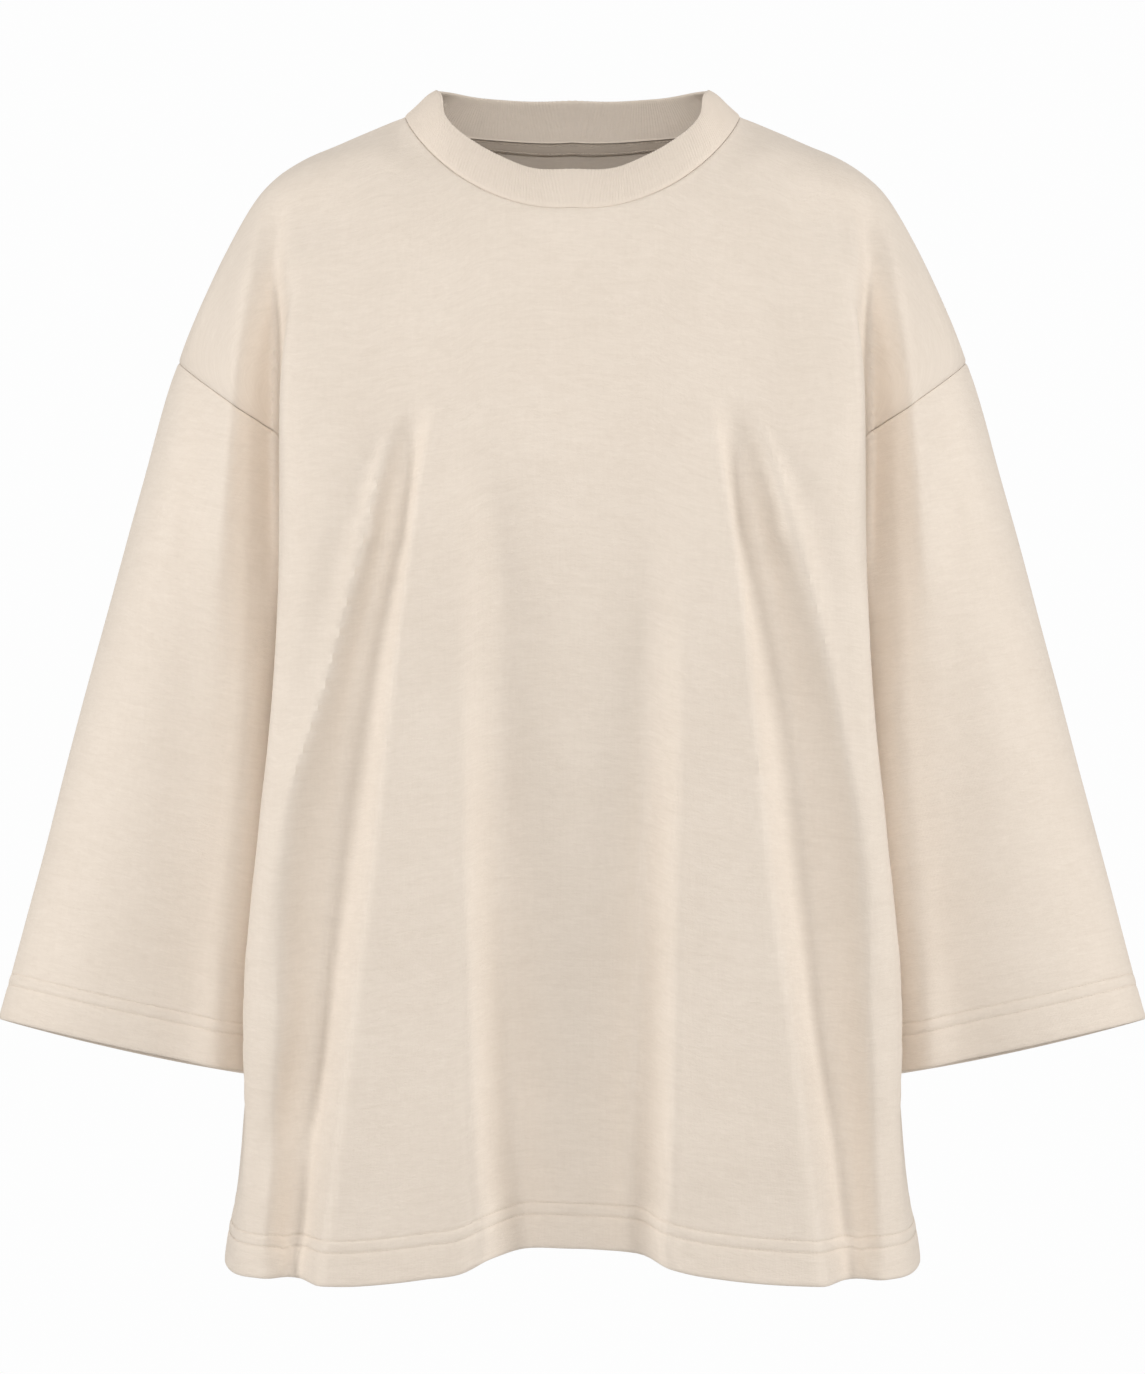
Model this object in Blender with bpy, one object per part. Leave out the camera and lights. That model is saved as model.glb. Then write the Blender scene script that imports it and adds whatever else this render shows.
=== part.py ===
import numpy as np

# ---- sizes in metres. +X wearer's left, -Y front, +Z up. Origin: midway between the two points where the shoulder meets the neck
CLOTH = 0.0012          # thickness of the jersey
SEAM = 0.00015          # half of the gap left between two sewn pieces
HEM_DEPTH = 0.0300      # turned-up hem of the body
CUFF_DEPTH = 0.0320     # turned-up hem of a sleeve
STEP_UP = 0.0015        # over this height the single cloth becomes the double hem
SIDE_Y = -0.006         # how far forward of the middle the underarm lies

def table(rows):
    return np.array(rows, float)

def smooth_interp(x, xs, ys):
    """cubic Hermite (monotone-ish, Catmull-Rom with limited slopes) through a short table; xs rising"""
    xs = np.asarray(xs, float); ys = np.asarray(ys, float)
    h = np.diff(xs); d = np.diff(ys) / h
    m = np.empty_like(ys)
    m[1:-1] = (d[:-1] * h[1:] + d[1:] * h[:-1]) / (h[:-1] + h[1:])
    m[0], m[-1] = d[0], d[-1]
    flat = np.zeros_like(ys, bool)
    flat[1:-1] = d[:-1] * d[1:] <= 0
    m = np.where(flat, 0.35 * m, m)
    x = np.clip(x, xs[0] - 1, xs[-1] + 1)
    i = np.clip(np.searchsorted(xs, x) - 1, 0, len(h) - 1)
    t = (x - xs[i]) / h[i]
    tc = np.clip(t, 0, 1)
    y = ((2*tc**3 - 3*tc**2 + 1) * ys[i] + (tc**3 - 2*tc**2 + tc) * h[i] * m[i]
         + (-2*tc**3 + 3*tc**2) * ys[i+1] + (tc**3 - tc**2) * h[i] * m[i+1])
    y = y + np.where(t < 0, (x - xs[0]) * m[0], 0) + np.where(t > 1, (x - xs[-1]) * m[-1], 0)
    return y

def sstep(x, a, b):
    t = np.clip((x - a) / (b - a), 0, 1)
    return t * t * (3 - 2 * t)

def smin(a, b, k):
    h = np.clip(0.5 + 0.5 * (b - a) / k, 0, 1)
    return b * (1 - h) + a * h - k * h * (1 - h)

def smax(a, b, k):
    return -smin(-a, -b, k)

# ridge of the shoulders, seen from the front: distance out, height
SHOULDER = table([
    [0.000, 0.0170], [0.060, 0.0125], [0.1144, -0.0018], [0.1352, -0.0105], [0.1585, -0.0206], [0.1815, -0.0307], [0.1970, -0.0408],
    [0.2077, -0.0509], [0.2151, -0.0609], [0.2212, -0.0710], [0.2372, -0.1013], [0.2554, -0.1414], [0.2635, -0.1616], [0.290, -0.2280]])
# body sections: height, half width, front, back, squareness, tuck of the side under the arm
BODY = table([
    [-0.780, 0.2380, 0.142, 0.142, 4.0, 0.002],
    [-0.725, 0.2315, 0.139, 0.139, 4.4, 0.007],
    [-0.690, 0.2285, 0.139, 0.137, 4.8, 0.022],
    [-0.655, 0.2255, 0.138, 0.134, 5.2, 0.037],
    [-0.620, 0.2225, 0.137, 0.131, 6.4, 0.044],
    [-0.560, 0.2175, 0.136, 0.126, 9.0, 0.047],
    [-0.480, 0.2080, 0.136, 0.121, 12.0, 0.045],
    [-0.400, 0.1985, 0.136, 0.118, 15.0, 0.044],
    [-0.300, 0.1925, 0.138, 0.118, 18.0, 0.045],
    [-0.200, 0.1915, 0.139, 0.122, 19.0, 0.040],
    [-0.100, 0.1900, 0.128, 0.118, 14.0, 0.020],
    [0.040, 0.1880, 0.115, 0.100, 6.0, 0.000]])
# sleeve sections: height, outer edge, inner edge, half depth, forward shift of the middle
ARM = table([
    [-0.660, 0.4010, 0.1990, 0.050, -0.026],
    [-0.603, 0.3854, 0.1880, 0.053, -0.023],
    [-0.500, 0.3575, 0.1770, 0.060, -0.017],
    [-0.400, 0.3310, 0.1740, 0.068, -0.010],
    [-0.335, 0.3135, 0.1715, 0.072, -0.006],
    [-0.285, 0.3000, 0.1665, 0.075, -0.003],
    [-0.231, 0.2849, 0.1490, 0.079, 0.000],
    [-0.160, 0.2660, 0.1300, 0.080, 0.002],
    [-0.060, 0.2400, 0.1000, 0.075, 0.004],
    [0.040, 0.2150, 0.0700, 0.070, 0.004]])
ROOF_F, ROOF_B = 0.090, 0.098

Z_DENSE = np.linspace(-0.86, 0.12, 3921)
X_DENSE = np.linspace(0.0, 0.45, 1801)
BODY_DENSE = [smooth_interp(Z_DENSE, BODY[:, 0], BODY[:, i]) for i in range(1, 6)]
ARM_DENSE = [smooth_interp(Z_DENSE, ARM[:, 0], ARM[:, i]) for i in range(1, 5)]
SHOULDER_DENSE = smooth_interp(X_DENSE, SHOULDER[:, 0], SHOULDER[:, 1])
SLOPE_DENSE = np.gradient(SHOULDER_DENSE, X_DENSE)

def body_row(z):
    return [np.interp(z, Z_DENSE, d) for d in BODY_DENSE]

def tuck_shape(y, z):
    q = (y + 0.002 + 0.021 * sstep(-z, 0.30, 0.62)) / (0.100 - 0.030 * sstep(-z, 0.28, 0.62))
    return np.maximum(1 - q * q, 0) ** 1.6

def torso(P):
    x, y, z = P[..., 0], P[..., 1], P[..., 2]
    a, bf, bb, n, tuck = body_row(z)
    a = a - tuck * tuck_shape(y, z)
    u = np.abs(x) / a
    b = np.where(y < 0, bf, bb) * (1 - 0.13 * np.minimum(u, 1.1) ** 2)
    v = np.abs(y) / b
    r = np.maximum((u ** n + v ** n) ** (1 / n), 1e-6)
    gx = r ** (1 - n) * u ** (n - 1) / a
    gy = r ** (1 - n) * v ** (n - 1) / b
    return (r - 1) / np.maximum(np.sqrt(gx * gx + gy * gy), 1.0)

def arm(P):
    x, y, z = np.abs(P[..., 0]), P[..., 1], P[..., 2]
    xo, xi, d, yc = [np.interp(z, Z_DENSE, q) for q in ARM_DENSE]
    w, xc = (xo - xi) / 2, (xo + xi) / 2
    u, v = (x - xc) / w, (y - yc) / d
    r = np.maximum(np.sqrt(u * u + v * v), 1e-6)
    g = np.sqrt((u / w) ** 2 + (v / d) ** 2) / r
    return (r - 1) / g

def roof(P):
    x, y, z = np.abs(P[..., 0]), P[..., 1], P[..., 2]
    zs, sl = np.interp(x, X_DENSE, SHOULDER_DENSE), np.interp(x, X_DENSE, SLOPE_DENSE)
    c = np.where(y < 0, ROOF_F, ROOF_B)
    return (z - zs + y * y / c) / np.sqrt(1 + sl ** 2 + (2 * y / c) ** 2)

def form(P, part=0):
    """plain form of the whole garment; below the underarm part 1 is the body alone, part 2 the sleeve alone"""
    z, y = P[..., 2], P[..., 1]
    k = np.interp(z, [-0.36, -0.300, -0.265, -0.235, -0.20, -0.13, -0.09, -0.04], [0.0004, 0.002, 0.008, 0.011, 0.012, 0.015, 0.026, 0.060])
    t, a = torso(P), arm(P)
    below = 0.06 * sstep(-z, 0.2590, 0.2700)
    f = smin(t + (below if part == 2 else 0), a + (below if part == 1 else 0), k)
    kr = 0.004 + 0.050 * sstep(np.abs(y), 0.0, 0.06) * (1 - 0.80 * sstep(np.abs(P[..., 0]), 0.115, 0.175) * sstep(-z, 0.06, 0.11))
    return smax(f, roof(P), kr)

def form_body(P):
    return form(P, 1)

def form_sleeve(P):
    return form(P, 2)

def grad(f, P, e=2e-4):
    g = np.empty_like(P)
    for i in range(3):
        d = np.zeros(3); d[i] = e
        g[..., i] = (f(P + d) - f(P - d)) / (2 * e)
    return g

def project(f, P, n=12, step=0.004, keep=None):
    P = P.copy()
    for _ in range(n):
        g = grad(f, P)
        gg = np.maximum((g * g).sum(-1), 0.02)
        d = -(f(P) / gg)[..., None] * g
        L = np.linalg.norm(d, axis=-1, keepdims=True)
        d = d * np.minimum(1, step / np.maximum(L, 1e-9))
        if keep is not None:
            d = d * keep[..., None]
        P += d
    return P

# ------------------------------------------------------------------ seam lines
NECK_HALF, NECK_FRONT, NECK_BACK, NECK_ROUND = 0.1130, 0.0860, 0.0545, 2.3
SHOULDER_END = (0.2650, -0.0010, -0.1620)
UNDERARM_X = 0.1535
CUFF_OUT, CUFF_IN = (0.3853, -0.6035), (0.1940, -0.6440)
HEM_Z = -0.7660

def arc_resample(P, fr):
    d = np.r_[0, np.cumsum(np.linalg.norm(np.diff(P, axis=0), axis=1))]
    d /= d[-1]
    return np.stack([np.interp(fr, d, P[:, i]) for i in range(3)], 1)

def drop(P, n=20):
    return project(form, P, n)

def roof_height(x, y):
    return smooth_interp(np.abs(x), SHOULDER[:, 0], SHOULDER[:, 1]) - y * y / np.where(y < 0, ROOF_F, ROOF_B)

def shoulder_y(x):
    return -0.009 + 0.008 * np.clip((x - 0.113) / 0.152, 0, 1)

def neck_half(front, n=80):
    """half of the seam between collar and body, from the middle to the shoulder"""
    b = NECK_FRONT if front else NECK_BACK
    sgn = -1 if front else 1
    t = np.linspace(0, np.pi / 2, 400)
    x = NECK_HALF * np.sin(t) ** (2 / NECK_ROUND)
    y = sgn * b * np.cos(t) ** (2 / NECK_ROUND)
    if front:
        ok = y < shoulder_y(0.113)
    else:
        ok = np.ones_like(y, bool)
    x, y = x[ok], y[ok]
    if front:
        x, y = np.r_[x, NECK_HALF * 0.9985], np.r_[y, shoulder_y(0.113)]
    else:
        # the shoulder seam is a little forward, so the back part of the line runs on to it
        x, y = np.r_[x, NECK_HALF * 0.9985], np.r_[y, shoulder_y(0.113)]
    P = np.stack([x, y, roof_height(x, y)], 1)
    P = arc_resample(P, np.linspace(0, 1, n))
    return drop(P, 6)

def shoulder_seam(n=80):
    x = np.linspace(NECK_HALF * 0.9985, SHOULDER_END[0], n)
    y = shoulder_y(x)
    P = np.stack([x, y, smooth_interp(x, SHOULDER[:, 0], SHOULDER[:, 1])], 1)
    for _ in range(12):
        g = grad(form, P)
        P[:, 2] -= form(P) / np.maximum(g[:, 2], 0.3)
    return arc_resample(P, np.linspace(0, 1, n))

def arm_point(phi, z):
    xo, xi, d, yc = [np.interp(z, Z_DENSE, q) for q in ARM_DENSE]
    w, xc = (xo - xi) / 2, (xo + xi) / 2
    return np.stack([xc + w * np.cos(phi), yc - d * np.sin(phi), z], -1)

def underarm():
    """top of the gap between body and sleeve"""
    z = np.linspace(-0.30, -0.18, 241)
    x = np.linspace(0.13, 0.19, 121)
    Z, X = np.meshgrid(z, x, indexing="ij")
    P = np.stack([X, np.full_like(X, SIDE_Y), Z], -1)
    f = form(P).max(1)
    i = int(np.argmax(f < 0))
    t = f[i - 1] / (f[i - 1] - f[i])
    zz = z[i - 1] + t * (z[i] - z[i - 1])
    xx = x[int(np.argmax(form(P)[i - 1]))]
    return np.array([xx, SIDE_Y, zz])

def armhole(front, n=80):
    """half of the armhole, from the end of the shoulder seam to the underarm"""
    S, U = np.array(shoulder_seam()[-1]), underarm()
    t = np.linspace(0, np.pi, 200)
    c, h = (S + U) / 2, (S - U) / 2
    d = 0.078 if front else 0.078
    P = c + h * np.cos(t)[:, None]
    P[:, 1] += (-d if front else d + 0.004) * np.sin(t) ** 0.9
    keep = np.sin(t) ** 0.5
    P = project(form, P, 25, 0.003, keep=np.clip(keep * 4, 0, 1))
    P[0], P[-1] = S, U
    for _ in range(5):
        P = arc_resample(P, np.linspace(0, 1, 60))
        for _ in range(16):
            P[1:-1] += 0.5 * (0.5 * (P[:-2] + P[2:]) - P[1:-1])
            P[1:-1] = project(form, P[1:-1], 1)
    return arc_resample(P, np.linspace(0, 1, n))

def side_y(z, zu):
    return SIDE_Y - 0.048 * sstep(-z, -zu + 0.02, 0.74)

def body_wall_x(y, z):
    a, bf, bb, n, tuck = body_row(z)
    a = a - tuck * tuck_shape(y, z)
    b = np.where(y < 0, bf, bb) * 0.87
    return a * (1 - np.minimum(np.abs(y) / b, 0.999) ** n) ** (1 / n)

def hem_height(x, y):
    return HEM_Z + 0.0 * np.asarray(x)

def side_seam(n=120):
    U = underarm()
    z = np.linspace(U[2], HEM_Z, n)
    y = side_y(z, U[2])
    x = body_wall_x(y, z)
    P = np.stack([x, y, z], 1)
    P[0] = U
    for _ in range(4):
        P[1:8] += 0.5 * (0.5 * (P[:7] + P[2:9]) - P[1:8])
    P[1:] = project(torso, P[1:], 4)
    P[-1, 2] = hem_height(P[-1, 0], P[-1, 1])
    return P

def hem_line(front, side_end, n=120):
    """bottom edge from the middle to the side seam"""
    a, bf, bb, nn, tuck = body_row(np.array(HEM_Z))
    b = bf if front else bb
    x = side_end[0]
    t = np.linspace(0, np.pi / 2, 600)
    X = a * np.sin(t) ** (2 / nn)
    Y = (-1 if front else 1) * b * np.cos(t) ** (2 / nn) * (1 - 0.13 * (X / a) ** 2)
    if front:
        ok = Y < side_end[1] - 0.002
        X, Y = X[ok], Y[ok]
    else:
        Y2 = np.linspace(0, side_end[1], 30)[1:]
        X, Y = np.r_[X, body_wall_x(Y2, np.full_like(Y2, HEM_Z))], np.r_[Y, Y2]
    P = np.stack([X, Y, hem_height(X, Y)], 1)
    P = np.vstack([P, side_end]) if front else P
    P = arc_resample(P, np.linspace(0, 1, n))
    Q = project(torso, P[:-1], 4)
    P[:-1, :2] = Q[:, :2]
    P[-1] = side_end
    return P

# ------------------------------------------------------------------ panels on the form
V_ARM = 0.325          # share of a panel's length that lies beside the armhole
U_RIDGE = 0.62         # share of a half panel's columns up to the front edge of the body

def ridge(front, n=160):
    """where the front (or back) turns round to the side: from the shoulder seam to the hem"""
    top = shoulder_seam()
    i = int(np.argmin(np.abs(top[:, 0] - 0.190)))
    z = np.linspace(-0.17, HEM_Z, 100)
    a, bf, bb, nn, tuck = body_row(z)
    u = 0.5 ** (1 / nn)
    y = (-bf if front else bb) * u * (1 - 0.13 * u * u)
    low = np.stack([a * u, y, z], 1)
    P = np.vstack([top[i], low])
    P = arc_resample(P, np.linspace(0, 1, n))
    k = np.clip(np.linspace(0, 1, n) * 30, 0, 1)
    P = project(form, P, 25, 0.004, keep=k)
    for _ in range(6):
        m = int(0.35 * n)
        P[1:m] += 0.5 * (0.5 * (P[:m-1] + P[2:m+1]) - P[1:m])
        P[1:m] = project(form, P[1:m], 1)
    P[-1, 2] = hem_height(P[-1, 0], P[-1, 1])
    return arc_resample(P, np.linspace(0, 1, n)), i

def seg(P, fr):
    return arc_resample(P, np.asarray(fr))

def side_edge(front, v):
    A, S = armhole(front), side_seam()
    va, vs = v[v <= V_ARM + 1e-9] / V_ARM, (v[v > V_ARM + 1e-9] - V_ARM) / (1 - V_ARM)
    return np.vstack([seg(A, np.clip(va, 0, 1)), seg(S, vs)])

def coons(T, B, L, R, u, v):
    u, v = u[:, None, None], v[None, :, None]
    # result [col, row, 3]; T,B along cols, L,R along rows
    return ((1 - v) * T[:, None] + v * B[:, None] + (1 - u) * L[None] + u * R[None]
            - ((1 - u) * (1 - v) * T[0] + u * (1 - v) * T[-1] + (1 - u) * v * B[0] + u * v * B[-1]))

NU1, NU2, NVB = 36, 24, 90
BASE_CACHE = {}

def settle(G, n):
    """spread the inner points evenly over the form without folding the net"""
    for it in range(n):
        W, E, S, T = G[:-2, 1:-1], G[2:, 1:-1], G[1:-1, :-2], G[1:-1, 2:]
        xu, xv = (E - W) / 2, (T - S) / 2
        al = (xv * xv).sum(-1, keepdims=True) + 1e-9
        ga = (xu * xu).sum(-1, keepdims=True) + 1e-9
        be = (xu * xv).sum(-1, keepdims=True)
        X = G[2:, 2:] - G[:-2, 2:] - G[2:, :-2] + G[:-2, :-2]
        Q = (al * (W + E) + ga * (S + T) - 0.5 * be * X) / (2 * (al + ga))
        G[1:-1, 1:-1] += 0.8 * (Q - G[1:-1, 1:-1])
        G[1:-1, 1:-1] = project(form_body, G[1:-1, 1:-1], 1, 0.006)
    return G


def base_half(front):
    """fine half panel on the form, [cols, rows, 3]; columns even from the middle to the ridge and on to the side"""
    if front in BASE_CACHE:
        return BASE_CACHE[front]
    v = np.linspace(0, 1, NVB + 1)
    v = np.sort(np.r_[v[np.abs(v - V_ARM) > 0.4 / NVB], V_ARM])
    neck, sh = neck_half(front), shoulder_seam()
    K, ik = ridge(front)
    vw = v + 0.36 * v * (1 - v)
    K = seg(K, smooth_interp(v, [0, 0.08, 0.16, 0.24, V_ARM, 0.5, 0.75, 1.0], [0, 0.165, 0.290, 0.375, 0.440, 0.590, 0.800, 1.0]))
    R = side_edge(front, v)
    c0 = neck[0]
    zc = np.linspace(c0[2], hem_height(0.0, -0.1 if front else 0.1), 120)
    bf = body_row(zc)[1 if front else 2]
    yy = np.where(np.arange(120) < 1, c0[1], (-bf if front else bf))
    C = np.stack([0 * zc, yy, zc], 1)
    # follow the roof first, then the body
    yr = np.sqrt(np.maximum((0.02 - zc) * (ROOF_F if front else ROOF_B), 0))
    C[:, 1] = np.where(yr < bf, yr, bf) * (-1 if front else 1)
    C = project(form, C, 10); C[:, 0] = 0
    C[0] = c0; C[-1, 2] = hem_height(0.0, C[-1, 1])
    C = seg(C, vw)
    side_end = side_seam()[-1]
    hem = hem_line(front, side_end)
    jk = int(np.argmin(np.linalg.norm(hem - K[-1], axis=1)))
    top1 = np.vstack([neck, sh[1:ik + 1]])
    nn = int(round(NU1 * 0.55))
    T1 = np.vstack([seg(neck, np.linspace(0, 1, nn + 1)), seg(sh[:ik + 1], np.linspace(0, 1, NU1 - nn + 1))[1:]])
    B1 = seg(np.vstack([hem[:jk], K[-1]]), np.linspace(0, 1, NU1 + 1))
    G1 = coons(T1, B1, C, K, np.linspace(0, 1, NU1 + 1), v)
    T2 = seg(sh[ik:], np.linspace(0, 1, NU2 + 1)); T2[0] = K[0]
    B2 = seg(np.vstack([K[-1], hem[jk + 1:]]), np.linspace(0, 1, NU2 + 1))
    G2 = coons(T2, B2, K, R, np.linspace(0, 1, NU2 + 1), v)
    # bulge the second patch out so that it lands on the right side of the corner
    G = np.vstack([G1, G2[1:]])
    fixed = G.copy()
    inner = np.zeros(G.shape[:2], bool); inner[1:-1, 1:-1] = True
    for it in range(40):
        G[1:-1, 1:-1] = project(form_body, G[1:-1, 1:-1], 1, 0.006)
    G = settle(G, 220)
    # the middle line lies in the plane of symmetry; let it follow the form between its ends
    G[0, 1:-1, 0] = 0
    BASE_CACHE[front] = (G, v, nn)
    return BASE_CACHE[front]

def sleeve_base(nrow, ring):
    """ring: [2n+1,3] closed armhole from the shoulder end over the front to the underarm and back; returns [cols, rows, 3]"""
    m = len(ring) - 1
    xo, xi, d, yc = [smooth_interp(ring[:, 2], ARM[:, 0], ARM[:, i]) for i in range(1, 5)]
    phi0 = np.arctan2(-(ring[:, 1] - yc) / d, (ring[:, 0] - (xo + xi) / 2) / ((xo - xi) / 2))
    phi0 = np.unwrap(phi0)
    phi0 = phi0 - phi0[0]
    phi0[-1] = 2 * np.pi
    # equal steps of length round the cuff
    t = np.linspace(0, 2 * np.pi, 721)
    E = cuff_point(t)
    s = np.r_[0, np.cumsum(np.linalg.norm(np.diff(E, axis=0), axis=1))]; s /= s[-1]
    rs = np.r_[0, np.cumsum(np.linalg.norm(np.diff(ring, axis=0), axis=1))]; rs /= rs[-1]
    half = m // 2
    # keep shoulder point outside and underarm inside
    rs2 = np.r_[0.5 * rs[:half + 1] / rs[half], 0.5 + 0.5 * (rs[half + 1:] - rs[half]) / (1 - rs[half])]
    phi1 = np.interp(rs2, s, t)
    C = cuff_point(phi1)
    w = np.linspace(0, 1, nrow + 1)
    G = np.empty((m + 1, nrow + 1, 3))
    for j, q in enumerate(w):
        z = ring[:, 2] + (C[:, 2] - ring[:, 2]) * q
        p = phi0 + (phi1 - phi0) * sstep(q, 0, 0.7)
        G[:, j] = arm_point(p, z)
    G[:, 0] = ring
    G[:, -1] = C
    def onto(P):
        z = P[..., 2]
        f1 = project(form_sleeve, P, 1, 0.004)
        return f1
    H = G[:-1]
    for it in range(60):
        Q = H.copy()
        Q[:, 1:-1] = 0.25 * (H[:, :-2] + H[:, 2:] + np.roll(H, 1, 0)[:, 1:-1] + np.roll(H, -1, 0)[:, 1:-1])
        H[:, 1:-1] += (0.6 if it > 10 else 0.0) * (Q - H)[:, 1:-1]
        H[:, 1:-1] = onto(H[:, 1:-1])
    G = np.concatenate([H, H[:1]], 0)
    return G

def cuff_point(phi):
    """on the sleeve's form where the sloping cuff cuts it"""
    z = np.full_like(phi, -0.62)
    for _ in range(12):
        P = arm_point(phi, z)
        t = (P[:, 0] - CUFF_IN[0]) / (CUFF_OUT[0] - CUFF_IN[0])
        zt = CUFF_IN[1] + (CUFF_OUT[1] - CUFF_IN[1]) * t - 0.012 * t * (1 - t) - 0.18 * (P[:, 1] + 0.0494)
        z = zt
    return arm_point(phi, z)

# ------------------------------------------------------------------ relief of the hanging cloth (millimetres)
# front, section by section downward. columns: height; left trough; outer left ridge; inner left ridge; left foot; middle; right foot; inner right ridge; outer right ridge; right trough (each: place across, stand-off)
FRONT = table([
    [-110, -150, 0.0, -115, 0.0, -90, 0.0, -72, 0.0, -40, 0.0, 0, 0.0, 40, 0.0, 72, 0.0, 89, 0.0, 115, 0.0, 150, 0.0],
    [-195, -117, 1.0, -105, 0.0, -93, 1.5, -74, 0.5, -46, 0.0, 0, 0.0, 46, 0.0, 72, 0.5, 91, 1.5, 105, 0.0, 119, 1.0],
    [-240, -127, 4.0, -112, -2.5, -98, 4.5, -73, 2.5, -46, -0.5, 0, 0.0, 46, -0.5, 71, 2.0, 96, 4.5, 112, -2.5, 131, 4.0],
    [-300, -143, 6.0, -126, -5.0, -108, 7.5, -71, 5.0, -47, -1.5, 0, -0.5, 47, -1.5, 70, 4.5, 106, 7.5, 126, -5.0, 154, 6.0],
    [-400, -174, 5.5, -146, -6.5, -121, 11.0, -68, 9.0, -46, -5.0, 3, -2.0, 47, -5.0, 67, 9.0, 119, 11.0, 145, -6.5, 186, 5.0],
    [-500, -197, 4.5, -156, -6.5, -132, 14.5, -65, 13.0, -45, -7.5, 6, -3.5, 46, -7.5, 62, 13.0, 129, 14.5, 155, -6.5, 198, 4.5],
    [-600, -206, 4.0, -166, -6.5, -144, 18.5, -59, 17.0, -42, -9.5, 5, -5.0, 43, -9.5, 59, 17.0, 142, 18.5, 165, -6.5, 206, 4.0],
    [-700, -212, 3.0, -176, -6.0, -154, 22.0, -55, 21.0, -38, -11.0, 0, -7.0, 40, -11.0, 57, 21.0, 153, 22.0, 177, -6.0, 212, 3.0],
    [-770, -216, 2.5, -183, -5.0, -162, 24.0, -48, 23.0, -32, -12.5, 0, -9.0, 36, -12.5, 54, 23.0, 160, 24.0, 184, -5.0, 216, 2.5]])
BACK = table([
    [-110, -150, 0.0, -110, 0.0, -60, 0.0, -30, 0.0, 0, 0.0, 34, 0.0, 66, 0.0, 112, 0.0, 150, 0.0],
    [-200, -150, -0.5, -112, 2.0, -66, 0.0, -34, 0.5, 0, 0.0, 36, 0.5, 70, 0.0, 114, 2.0, 150, -0.5],
    [-300, -156, -2.0, -120, 5.5, -74, -1.5, -38, 2.5, 2, -1.0, 42, 2.5, 80, -1.5, 124, 5.0, 158, -2.0],
    [-400, -164, -3.0, -128, 9.0, -84, -3.0, -42, 5.0, 2, -2.0, 44, 4.5, 90, -3.0, 134, 8.0, 166, -3.0],
    [-500, -174, -4.0, -136, 12.0, -92, -4.0, -46, 7.5, 0, -3.0, 46, 7.0, 98, -4.0, 142, 11.0, 175, -4.0],
    [-600, -184, -4.5, -144, 14.5, -98, -5.0, -50, 10.0, -2, -4.0, 50, 9.0, 104, -5.0, 150, 13.5, 184, -4.5],
    [-700, -193, -4.5, -152, 17.0, -104, -6.0, -54, 12.5, -4, -5.0, 54, 11.5, 110, -6.0, 158, 16.0, 193, -4.5],
    [-770, -199, -4.0, -158, 18.0, -108, -6.5, -57, 14.0, -5, -5.5, 57, 13.0, 114, -6.5, 164, 17.0, 199, -4.0]])
# slanting drapes: face, path across/height top, middle, bottom, stand-off, width on the outer side, on the inner side
DRAPES = table([
    [-1, -62, -215, -46, -285, -28, -360, -2.5, 20, 20],
    [-1, -178, -655, -196, -712, -208, -765, 2.5, 10, 16],
    [1, -96, -215, -128, -330, -172, -470, 3.5, 16, 26],
    [1, 104, -220, 140, -340, 178, -480, 3.2, 16, 26]])
# bottom edge of the front: place across, height
HEM = table([
    [-0.240, -0.7680], [-0.200, -0.7660], [-0.150, -0.7660], [-0.120, -0.7635], [-0.095, -0.7600], [-0.070, -0.7555], [-0.056, -0.7480],
    [-0.042, -0.7445], [0.000, -0.7433], [0.034, -0.7455], [0.047, -0.7465], [0.060, -0.7520], [0.073, -0.7560], [0.098, -0.7605],
    [0.124, -0.7637], [0.150, -0.7657], [0.240, -0.7680]])

def relief(P, N):
    """stand-off of the folds from the plain form, by place and facing"""
    x, y, z = P[..., 0] * 1000, P[..., 1], P[..., 2] * 1000
    D = np.zeros(x.shape)
    for face, T in ((-1, FRONT), (1, BACK)):
        cols = [smooth_interp(z, T[::-1, 0], T[::-1, i]) for i in range(1, T.shape[1])]
        kx = np.stack([np.full_like(x, -260.0)] + cols[0::2] + [np.full_like(x, 260.0)])
        kd = np.stack([np.zeros_like(x)] + cols[1::2] + [np.zeros_like(x)])
        acc = np.zeros_like(x); wsum = 0.0
        soft = (6.0 if face < 0 else 15.0) + 4.0 * sstep(-z, 450, 700)
        for o, w in ((-1.0, 0.06), (-0.66, 0.13), (-0.33, 0.20), (0.0, 0.22), (0.33, 0.20), (0.66, 0.13), (1.0, 0.06)):
            xx = x + o * soft
            v = np.zeros_like(x)
            for i in range(len(kx) - 1):
                t = (xx - kx[i]) / (kx[i + 1] - kx[i])
                v = np.where((t >= 0) & (t < 1), kd[i] + (kd[i + 1] - kd[i]) * t, v)
            acc += w * v; wsum += w
        d = acc / wsum
        for row in DRAPES:
            if row[0] != face or row[7] == 0:
                continue
            px, pz = row[[1, 3, 5]], row[[2, 4, 6]]
            c = np.interp(z, pz[::-1], px[::-1])
            out = np.sign(px[2] - px[0]) if abs(px[2]) > abs(px[0]) else np.sign(px[0])
            dx = (x - c) * np.sign(px[2])
            wdt = np.where(dx > 0, row[8], row[9])
            fade = sstep(z, pz[2] - 25, pz[2] + 50) * (1 - sstep(z, pz[0] - 45, pz[0] + 15))
            d = d + row[7] * np.exp(-(dx / wdt) ** 2) * fade
        w = sstep(face * N[..., 1], 0.15, 0.75) * sstep(face * y, 0.01, 0.05)
        D += d * w
    near_arm = sstep(np.abs(x), 176, 192) * sstep(z, -345, -275)
    return D * 0.001 * (1 - sstep(z, -200, -110)) * (1 - near_arm)

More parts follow.
